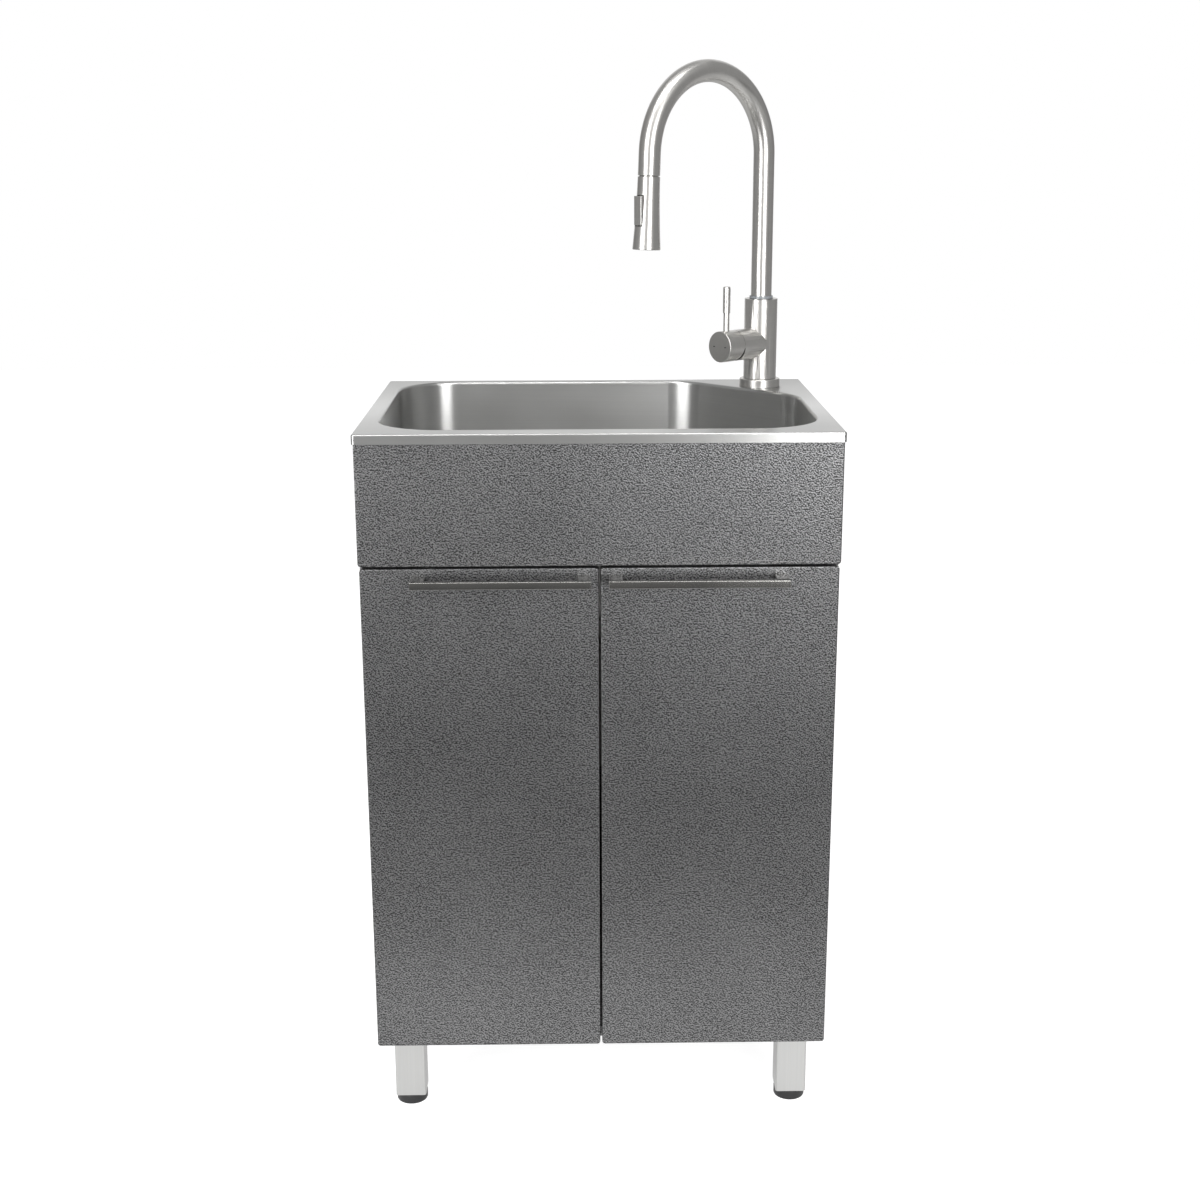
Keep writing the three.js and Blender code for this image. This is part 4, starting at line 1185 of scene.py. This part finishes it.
class SINK_OT_waste(bpy.types.Operator):
    """Tailpiece, trap, trap arm and slip nuts"""

    bl_idname = "sink.waste"
    bl_label = "Waste and trap"

    PIPE = 19 * MM
    SOCKET = 21.3 * MM
    WALL = 1.6 * MM
    BEND = 45 * MM
    BEND_Z = 440 * MM
    RISER = 30 * MM
    ELBOW_Z = 480 * MM
    COLLAR = 21.4 * MM
    COLLAR_DEPTH = 2 * MM
    # Each nut's bore below and above its shelf.
    NUTS = {
        "tailpiece_slip_nut": (19.8 * MM, 21.8 * MM),
        "trap_inlet_slip_nut": (21.9 * MM, 19.7 * MM),
        "trap_outlet_slip_nut": (21.9 * MM, 19.7 * MM),
    }
    SHELF = 3 * MM
    RIBS = 10
    RIB_REACH = 1.6 * MM
    RIB_HALF = 2.2 * MM

    def slip_nut(self, node):
        """Nut with grip ribs, shaped to its frame node's height and width."""
        lowest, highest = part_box(node)
        outer = (highest.x - lowest.x) / 2 - self.RIB_REACH
        bore, upper = self.NUTS[node]
        shelf = highest.z - self.SHELF
        nut = turned([
            (bore, lowest.z), (outer, lowest.z), (outer - 0.8 * MM, highest.z - 2 * MM),
            (outer - 2.6 * MM, highest.z), (upper, highest.z), (upper, shelf), (bore, shelf),
        ], 60, closed=True)
        ribs = ring_of(self.RIBS, lambda: box(
            (outer - 1.5 * MM, -self.RIB_HALF, lowest.z + 0.1 * MM),
            (outer + 1.4 * MM, self.RIB_HALF, highest.z - 2.4 * MM),
        ))
        soften(combined(nut, ribs, "UNION"), 0.7 * MM, 3, 30)
        return settle(nut, Matrix.Translation((*middle(node).xy, 0)))

    def pipe(self, radius, start, centre, angle, last):
        """A circle drawn up or down to a bend's centre, spun about X and drawn on to its end."""
        start_circle(44, radius, start)
        extrude(0, 0, centre.z - start[2])
        # Spin turns clockwise seen along its axis.
        bpy.ops.mesh.spin(steps=36, angle=-angle, center=centre, axis=(1, 0, 0))
        extrude(*last)
        clean()
        return soften(walled(settle(out_of_edit()), self.WALL), 0.4 * MM, 2, 60)

    def tail(self):
        """Straight pipe with a collar at its top, which the nut holds."""
        bore, bottom, top = self.PIPE - self.WALL, low("tailpiece").z, high("tailpiece").z
        under = top - self.COLLAR_DEPTH
        tail = turned([
            (bore, bottom), (self.PIPE, bottom), (self.PIPE, under),
            (self.COLLAR, under), (self.COLLAR, top), (bore, top),
        ], 48, closed=True)
        return soften(settle(tail, Matrix.Translation(DRAIN)), 0.4 * MM, 2)

    def execute(self, context):
        x, y = DRAIN.xy
        bend = self.pipe(
            self.SOCKET, (x, y, high("trap_bend").z),
            Vector((x, y + self.BEND, self.BEND_Z)), math.pi, (0, 0, self.RISER),
        )
        elbow = Vector((x, y + 3 * self.BEND, self.ELBOW_Z))
        arm = self.pipe(
            self.PIPE, (x, y + 2 * self.BEND, low("trap_arm").z),
            elbow, -QUARTER, (0, high("trap_arm").y - elbow.y, 0),
        )
        for piece, node in ((bend, "trap_bend"), (arm, "trap_arm"), (self.tail(), "tailpiece")):
            dress(smooth(piece), f"{node}_moulded", "cabinet", "white_plastic", "white", node)
        for node in self.NUTS:
            dress(smooth(self.slip_nut(node)), f"{node}_ribbed", "cabinet", "white_plastic", "white", node)
        return {"FINISHED"}


# ------------------------------------------------------------------ tap


class Seated:
    """A tap piece is made upright at the origin, then moved to its place by the FRAME of its operator."""

    def seat(self, obj, *labels):
        return dress(settle(obj, self.FRAME), *labels)


class SINK_OT_tap(Seated, bpy.types.Operator):
    """Flange, body with its side barrel, arched spout, and what holds the tap under the deck"""

    bl_idname = "sink.tap"
    bl_label = "Tap body and spout"

    # Measured from the tap's axis and the deck; +X points along the spout and the valve's barrel.
    FRAME = Matrix.Translation(TAP) @ Matrix.Rotation(math.radians(-138.9), 4, "Z")
    BODY = 21.6 * MM
    BODY_TOP = 115.4 * MM
    FLANGE = 26.7 * MM
    FLANGE_TOP = 11 * MM
    VALVE_Z = 57.7 * MM
    ALONG_BARREL = Matrix.Translation((0, 0, VALVE_Z)) @ Matrix.Rotation(QUARTER, 4, "Y")
    BARREL = 20 * MM
    BARREL_END = 49 * MM
    BARREL_BORE = 16.8 * MM
    BARREL_FLOOR = 24 * MM
    SPOUT = 13.6 * MM
    SPOUT_WALL = 1.5 * MM
    SPOUT_START = 92.5 * MM
    ARCH_Z = 298.9 * MM
    ARCH = 101.7 * MM
    ARCH_ANGLE = math.radians(177.47)
    SPOUT_END = 27.4 * MM
    DOWN = Vector((math.sin(ARCH_ANGLE), 0, math.cos(ARCH_ANGLE)))
    ARCH_TIP = Vector((ARCH - ARCH * math.cos(ARCH_ANGLE), 0, ARCH_Z + ARCH * math.sin(ARCH_ANGLE)))
    TIP = ARCH_TIP + DOWN * SPOUT_END
    RUNNING_GAP = 0.4 * MM
    SEAT_GAP = 0.3 * MM
    COLLAR_WALL = 1.4 * MM
    COLLAR_HEIGHT = 3.5 * MM
    HOSE = 6.5 * MM
    HOSE_START = -53 * MM
    HOSE_SHORT = 24.6 * MM
    HOLE_BORE = 16.8 * MM
    DECK_UNDER = -1.8 * MM
    WASHER = 26 * MM
    WASHER_DEPTH = 3 * MM
    NUT = 22 * MM
    NUT_TOP = DECK_UNDER - 3.3 * MM
    NUT_BOTTOM = DECK_UNDER - 17 * MM
    WING_START = 19 * MM
    WING_REACH = 27.9 * MM
    WING_HALF = 2.5 * MM
    SHANK_BORE = 12.5 * MM
    SHANK_END = -55 * MM
    CREST = 16.5 * MM
    ROOT = 15.7 * MM
    PITCH = 1.8 * MM
    CREST_HALF = 0.2 * MM
    THREAD_TOP = -6 * MM

    def bent(self, radius, start, straight_end, sides):
        """A circle drawn up from the body, spun over the arch and drawn down."""
        start_circle(sides, radius, (0, 0, start))
        extrude(0, 0, self.ARCH_Z - start)
        # Spin turns clockwise seen along its axis.
        bpy.ops.mesh.spin(
            steps=80, angle=-self.ARCH_ANGLE, center=(self.ARCH, 0, self.ARCH_Z), axis=(0, 1, 0),
        )
        extrude(*(self.DOWN * straight_end))
        clean()
        return settle(out_of_edit())

    def run(self, point):
        """How far along the spout's centre line a point lies."""
        if point.z < self.ARCH_Z and point.x < self.ARCH:
            return point.z
        angle = math.atan2(point.z - self.ARCH_Z, self.ARCH - point.x)
        if 0 <= angle < self.ARCH_ANGLE:
            return self.ARCH_Z + self.ARCH * angle
        end = self.ARCH_Z + self.ARCH * self.ARCH_ANGLE
        return end + (point - self.TIP).dot(self.DOWN) + self.SPOUT_END

    def round_the_run(self, point):
        """The angle round the spout's centre line, nought on the inside of the arch."""
        if point.z < self.ARCH_Z and point.x < self.ARCH:
            return math.atan2(point.y, point.x)
        spoke = Vector((point.x - self.ARCH, 0, point.z - self.ARCH_Z)).length
        return math.atan2(point.y, self.ARCH - spoke)

    def body(self):
        """Column and side barrel joined, recessed for the spout and the cartridge."""
        column = cylinder(self.BODY, self.FLANGE_TOP + self.SEAT_GAP, self.BODY_TOP, 96)
        barrel = cylinder(self.BARREL, 2 * MM, self.BARREL_END, 96)
        combined(column, settle(barrel, self.ALONG_BARREL), "UNION")
        well = cylinder(self.BARREL_BORE, self.BARREL_FLOOR, self.BARREL_END + MM)
        combined(column, settle(well, self.ALONG_BARREL), "DIFFERENCE")
        socket = cylinder(self.SPOUT + self.RUNNING_GAP, self.SPOUT_START - MM, self.BODY_TOP + MM)
        combined(column, socket, "DIFFERENCE")
        return soften(column, 0.55 * MM, 3, 28)

    def flange(self):
        """Low ring on the deck with a rounded upper edge."""
        bore, edge, top, seat = self.HOLE_BORE, self.FLANGE, self.FLANGE_TOP, self.SEAT_GAP
        profile = [(bore, seat), (edge, seat), *rounded(edge, top, 1.6 * MM, 6), (bore, top)]
        return turned(profile, 96, closed=True)

    def collar(self):
        """Thin ring round the foot of the spout."""
        inner, bottom = self.SPOUT + self.RUNNING_GAP, self.BODY_TOP + self.SEAT_GAP
        collar = ring(inner, inner + self.COLLAR_WALL, bottom, bottom + self.COLLAR_HEIGHT)
        return soften(collar, 0.35 * MM, 2)

    def spout(self):
        spout = self.bent(self.SPOUT, self.SPOUT_START, self.SPOUT_END, 64)
        return soften(walled(spout, self.SPOUT_WALL), 0.6 * MM, 3, 60)

    def hose(self):
        """The hose inside the tap, from under the deck to the spout's end."""
        hose = self.bent(self.HOSE, self.HOSE_START, self.SPOUT_END - self.HOSE_SHORT, 24)
        store(hose, "along", self.run)
        return store(hose, "around", self.round_the_run)

    def shank(self):
        """Threaded tube through the deck."""
        crest, root, half, flat = self.CREST, self.ROOT, self.PITCH / 2, self.CREST_HALF
        top, bottom = self.FLANGE_TOP, self.SHANK_END
        profile = [(self.SHANK_BORE, top), (self.SHANK_BORE, bottom), (root, bottom)]
        ridge = bottom + half
        while ridge < self.THREAD_TOP:
            profile += [(crest, ridge - flat), (crest, ridge + flat), (root, ridge + half)]
            ridge += self.PITCH
        return turned([*profile, (crest, self.THREAD_TOP + 2 * MM), (crest, top)], 40, closed=True)

    def washer(self):
        washer = ring(self.HOLE_BORE, self.WASHER, self.DECK_UNDER - self.WASHER_DEPTH, self.DECK_UNDER)
        return soften(washer, 0.5 * MM, 3)

    def mounting_nut(self):
        """Nut with three wings, turned by hand under the deck."""
        nut = ring(self.HOLE_BORE, self.NUT, self.NUT_BOTTOM, self.NUT_TOP, 48)
        wings = ring_of(3, lambda: box(
            (self.WING_START, -self.WING_HALF, self.NUT_BOTTOM),
            (self.WING_REACH, self.WING_HALF, self.NUT_TOP),
        ))
        return soften(combined(nut, wings, "UNION"), 0.8 * MM, 3, 30)

    def execute(self, context):
        column = brush(self.body(), lambda point: point.x if point.x > self.BODY + MM else point.z)
        self.seat(column, "tap_column", "cabinet", "brushed_steel", "tap_steel", "tap_body")
        flange = brush(self.flange(), lambda point: point.z + math.hypot(point.x, point.y))
        self.seat(flange, "tap_base_ring", "cabinet", "brushed_steel", "tap_steel", "tap_flange")
        self.seat(smooth(self.collar()), "spout_foot_ring", "cabinet", "grey_plastic", "ring", "spout_collar")
        spout = brush(self.spout(), self.run)
        self.seat(spout, "arched_spout", "spout", "brushed_steel", "tap_steel", "spout")
        carrier = frame["nodes"]["inner_hose"]["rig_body"]
        self.seat(smooth(self.hose()), "hose_in_spout", carrier, "grey_plastic", "braid", "inner_hose")
        self.seat(smooth(self.shank()), "threaded_shank", "cabinet", "zinc_plate", "zinc", "tap_shank")
        self.seat(smooth(self.washer()), "deck_washer", "cabinet", "black_rubber", "rubber", "tap_washer")
        nut = smooth(self.mounting_nut())
        self.seat(nut, "wing_nut", "cabinet", "zinc_plate", "zinc", "tap_mounting_nut")
        return {"FINISHED"}


# ------------------------------------------------------------------ spray head


class SINK_OT_spray(Seated, bpy.types.Operator):
    """Tapered spray head with its rocker button, nozzles and pull-out hose"""

    bl_idname = "sink.spray"
    bl_label = "Spray head"

    # Heights are measured up from the seam with the spout.
    FRAME = (
        SINK_OT_tap.FRAME @ Matrix.Translation(SINK_OT_tap.TIP)
        @ Matrix.Rotation(SINK_OT_tap.ARCH_ANGLE - math.pi, 4, "Y")
    )
    LENGTH = 88.5 * MM
    TOP_RADIUS = 13.75 * MM
    FLARE = 3.65 * MM
    BUTTON_TOP = -24.4 * MM
    BUTTON_LENGTH = 35 * MM
    BUTTON_HALF = 6.3 * MM
    BUTTON_FACE = 18.4 * MM
    BUTTON_BACK = 11.2 * MM
    BUTTON_LEAN = math.radians(2.8)
    NECK_WALL = 1.7 * MM
    MOUTH = millimetres([
        [17.1, -88.2], [16.5, -88.5], [15.2, -88.5], [14.7, -88.1], [14.4, -85], [11.6, -14], [11.6, -0.3],
    ])
    FACE = millimetres([
        [0, -84.5], [14, -84.5], [14.3, -87], [14, -87.4], [12.6, -87.4], [12.2, -87], [7.6, -87],
        [7.2, -87.4], [5.6, -87.4], [5.2, -86.6], [0, -86.6],
    ])
    NOZZLE = millimetres([[0, -88.1], [0.45, -88.1], [0.75, -86.9]])
    NOZZLE_RINGS = ((20, 11 * MM), (14, 8.7 * MM))
    CORE = millimetres([
        [0, -84.2], [8, -84.2], [8, -12], [11.2, -12], [11.2, 4], [10.2, 4], [10.2, 6], [11.2, 6],
        [11.2, 13], [10.2, 14], [0, 14],
    ])
    HOSE = 6.4 * MM
    HOSE_BOTTOM = 14.3 * MM
    HOSE_TOP = 24 * MM
    HOSE_RINGS = 120
    TRAVEL = 0.35

    def shell(self):
        """Slim neck that flares to the mouth, with a pocket for the button."""
        radius, inner = self.TOP_RADIUS, self.TOP_RADIUS - self.NECK_WALL
        profile = [(inner, -0.3 * MM), (inner, -0.9 * MM), (radius - 0.5 * MM, -1.1 * MM)]
        for k in range(17):
            share = (k + 0.25) / 16.25
            profile.append((radius + self.FLARE * share ** 1.8, -share * (self.LENGTH - MM)))
        shell = turned([*profile, *self.MOUTH], 96, closed=True)
        half = self.BUTTON_HALF + 0.4 * MM
        pocket = box(
            (10 * MM, -half, self.BUTTON_TOP - self.BUTTON_LENGTH - 1.1 * MM),
            (20 * MM, half, self.BUTTON_TOP + 1.3 * MM),
        )
        combined(shell, pocket, "DIFFERENCE")
        return soften(shell, 0.3 * MM, 2, 50)

    def button(self):
        """Bar whose face follows the head, leaning out at its top."""
        bottom = self.BUTTON_TOP - self.BUTTON_LENGTH
        bar = box((self.BUTTON_BACK, -self.BUTTON_HALF, bottom), (20 * MM, self.BUTTON_HALF, self.BUTTON_TOP))
        back = 2 * self.BUTTON_FACE
        face = cylinder(back + self.BUTTON_FACE, bottom - MM, MM, 256)
        combined(bar, settle(face, Matrix.Translation((-back, 0, 0))), "INTERSECT")
        soften(bar, 0.6 * MM, 3, 40)
        hinge = Matrix.Translation((self.BUTTON_FACE, 0, self.BUTTON_TOP))
        return settle(bar, hinge @ Matrix.Rotation(self.BUTTON_LEAN, 4, "Y") @ hinge.inverted())

    def face(self):
        """Disc with an aerator in the middle and two rings of soft nozzles."""
        face = turned(self.FACE)
        for count, radius in self.NOZZLE_RINGS:
            def tip(out=Matrix.Translation((radius, 0, 0))):
                return settle(turned(self.NOZZLE, 8), out)
            join_pieces(face, ring_of(count, tip))
        return face

    def hose(self):
        """Stub of hose in the spout's end.

        Its rings lie closer in the middle, the part that a pulled-out head would stretch the most.
        """
        bottom, top = self.HOSE_BOTTOM, self.HOSE_TOP
        start_circle(20, self.HOSE, (0, 0, top))
        level = top
        for k in range(1, self.HOSE_RINGS + 1):
            eased = k / self.HOSE_RINGS
            share = 0.5 - math.sin(math.asin(1 - 2 * eased) / 3)
            next_level = top - (top - bottom) * share
            extrude(0, 0, next_level - level)
            level = next_level
        clean()
        hose = settle(out_of_edit())

        def drawn(point):
            """How far down the hose a point lies once the head is pulled right out."""
            share = (top - point.z) / (top - bottom)
            return (top - point.z) + share * share * (3 - 2 * share) * self.TRAVEL

        store(hose, "along", drawn)
        store(hose, "around", lambda point: math.atan2(point.y, point.x))
        settle(smooth(hose), self.FRAME)
        hose.name = hose.data.name = "pull_out_hose"
        hose.data.materials.append(Finishes.get("braid"))
        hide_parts("spray_hose")
        tuple(self.FRAME @ Vector((0, 0, top)))
        tuple(self.FRAME @ Vector((0, 0, bottom)))
        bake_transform(hose)

    def execute(self, context):
        shell = brush(self.shell(), lambda point: point.z)
        self.seat(shell, "spray_shell", "spray_head", "brushed_steel", "tap_steel", "spray_head")
        button = brush(self.button(), lambda point: point.z)
        self.seat(button, "spray_rocker", "spray_button", "brushed_steel", "tap_steel", "spray_button")
        core = smooth(soften(turned(self.CORE, 48), 0.3 * MM, 2))
        self.seat(core, "spray_inner_core", "spray_head", "black_plastic", "black", "spray_core")
        self.seat(smooth(self.face()), "spray_nozzles", "spray_head", "grey_plastic", "grey", "spray_face")
        self.hose()
        return {"FINISHED"}


# ------------------------------------------------------------------ valve


class SINK_OT_valve(Seated, bpy.types.Operator):
    """Side valve: cartridge, swivel, round cap and lever rod"""

    bl_idname = "sink.valve"
    bl_label = "Side valve"

    FRAME = SINK_OT_tap.FRAME @ SINK_OT_tap.ALONG_BARREL
    CAP_START = 49.5 * MM
    CAP_END = 77 * MM
    CAP_WALL = 2.6 * MM
    CAP_FACE = 4 * MM
    # Rise over run of the wedge that is cut away under the cap's rear.
    WEDGE = 0.27
    # From the ball that the cap tilts on to the inside of its face.
    HUB = millimetres([
        [0, 41], [3.5, 42.5], [5, 46], [3.5, 49.5], [3.5, 62], [7, 62], [7, 73.5], [0, 73.5],
    ])
    ROD = 65 * MM
    LAY_ROD = Matrix.Translation((0, 0, ROD)) @ Matrix.Rotation(-QUARTER, 4, "Y")
    ROD_HOLE = 4.2 * MM, 8 * MM, 24 * MM
    ROD_FOOT = millimetres([[0, 7.6], [3.9, 7.6], [3.9, 42.9], [4.1, 43.1], [4.6, 43.2], [4.8, 43.5]])
    ROD_RADIUS = 4.8 * MM
    ROD_TOP = 76.6 * MM
    MARK_PLACE = 10 * MM
    MARK_LENGTH = 3.2 * MM
    MARK_WIDTH = 1.2 * MM
    MARK_DEPTH = 1 * MM
    CARTRIDGE = millimetres([
        [0, 24.3], [16.5, 24.3], [16.5, 34], [15.5, 34.5], [15.5, 36], [16.5, 36.5], [16.5, 40], [0, 40],
    ])
    SWIVEL = millimetres([
        [5.5, 40.3], [16.5, 40.3], [16.5, 48.6], [14.5, 48.6], [13.9, 47.4], [7, 47.4], [5.5, 48.4],
    ])

    def cap(self):
        """Round shell on a hub with a ball-ended stem.

        A wedge is cut away under its rear, so that it can tilt, and its face has two setting marks.
        """
        outer, start, end = SINK_OT_tap.BARREL, self.CAP_START, self.CAP_END
        inside, under = outer - self.CAP_WALL, end - self.CAP_FACE
        shoulder = rounded(outer, end, 0.9 * MM, 4)
        cap = turned(
            [(inside, start), (outer, start), *shoulder, (0, end), (0, under), (inside, under)], 96,
        )
        away = outer + 2 * MM
        reach = self.WEDGE * away
        wedge = box((0, -away, start - 2 * MM), (away, away, start + 0.1 * MM))
        into_edit()
        pick(lambda edge: all(v.co.x > away - MM and v.co.z > start for v in edge.verts), "edges")
        bpy.ops.transform.translate(value=(0, 0, reach))
        out_of_edit()
        combined(cap, wedge, "DIFFERENCE")
        for side in (-1, 1):
            combined(cap, self.mark(side, end + MM), "DIFFERENCE")
        hub = turned(self.HUB, 40)
        hole = cylinder(*self.ROD_HOLE, 40)
        combined(cap, settle(hole, self.LAY_ROD), "DIFFERENCE")
        soften(cap, 0.3 * MM, 2, 40)
        return join_pieces(cap, hub)

    def mark(self, side, top):
        """A short bar on the cap's face, to one side of its middle."""
        centre = side * self.MARK_PLACE
        half_width, half_length = self.MARK_WIDTH / 2, self.MARK_LENGTH / 2
        return box(
            (-half_width, centre - half_length, self.CAP_END - self.MARK_DEPTH),
            (half_width, centre + half_length, top),
        )

    def marks(self):
        """Black boxes in both setting marks, just under the face, as painted shade in the grooves."""
        return join_pieces(*(self.mark(side, self.CAP_END - 0.1 * MM) for side in (-1, 1)))

    def rod(self):
        """Slim foot in the cap and a thicker grip with a rounded end."""
        end = rounded(self.ROD_RADIUS, self.ROD_TOP, 1.2 * MM, 5)
        rod = turned([*self.ROD_FOOT, *end, (0, self.ROD_TOP)], 48)
        return settle(rod, self.LAY_ROD)

    def execute(self, context):
        edge = SINK_OT_tap.BARREL - MM
        cap = brush(self.cap(), lambda point: point.z if math.hypot(point.x, point.y) > edge else point.y)
        self.seat(cap, "lever_round_cap", "lever", "brushed_steel", "tap_steel", "lever_cap")
        # Painted shade: black boxes fill the mark grooves where their shade falls.
        self.seat(self.marks(), "lever_setting_marks", "lever", "black_plastic", "black")
        rod = brush(self.rod(), lambda point: point.x)
        self.seat(rod, "lever_stick", "lever", "brushed_steel", "tap_steel", "lever_rod")
        cartridge = smooth(soften(turned(self.CARTRIDGE), 0.4 * MM, 2))
        self.seat(cartridge, "valve_cartridge", "cabinet", "grey_plastic", "grey", "mixer_cartridge")
        swivel = smooth(soften(turned(self.SWIVEL, closed=True), 0.4 * MM, 2))
        self.seat(swivel, "valve_swivel", "mixer_swivel", "black_plastic", "black", "mixer_swivel")
        return {"FINISHED"}


# ------------------------------------------------------------------ panel


class SINK_PT_pieces(bpy.types.Panel):
    """Lists the steps that build the sink"""

    bl_label = "Laundry Sink"
    bl_space_type = "VIEW_3D"
    bl_region_type = "UI"
    bl_category = "Laundry Sink"

    def draw(self, context):
        layout = self.layout
        for step in STEPS:
            layout.operator(step.bl_idname)
        for group in (context.scene.sink_sizes, context.scene.sink_finishes):
            box_layout = layout.box()
            for name in group.__annotations__:
                box_layout.prop(group, name)


STEPS = (
    SINK_OT_stage, SINK_OT_cabinet, SINK_OT_legs, SINK_OT_handles, SINK_OT_hinges,
    SINK_OT_sheet, SINK_OT_strainer, SINK_OT_waste, SINK_OT_tap, SINK_OT_spray, SINK_OT_valve,
)
CLASSES = (SinkSizes, SinkFinishes, *STEPS, SINK_PT_pieces)


def register():
    for cls in CLASSES:
        bpy.utils.register_class(cls)
    bpy.types.Scene.sink_sizes = PointerProperty(type=SinkSizes)
    bpy.types.Scene.sink_finishes = PointerProperty(type=SinkFinishes)


def unregister():
    del bpy.types.Scene.sink_finishes
    del bpy.types.Scene.sink_sizes
    for cls in reversed(CLASSES):
        bpy.utils.unregister_class(cls)


def main():
    register()
    bpy.ops.object.select_all(action="DESELECT")
    for step in STEPS:
        group, name = step.bl_idname.split(".")
        getattr(getattr(bpy.ops, group), name)()


if __name__ == "__main__":
    main()
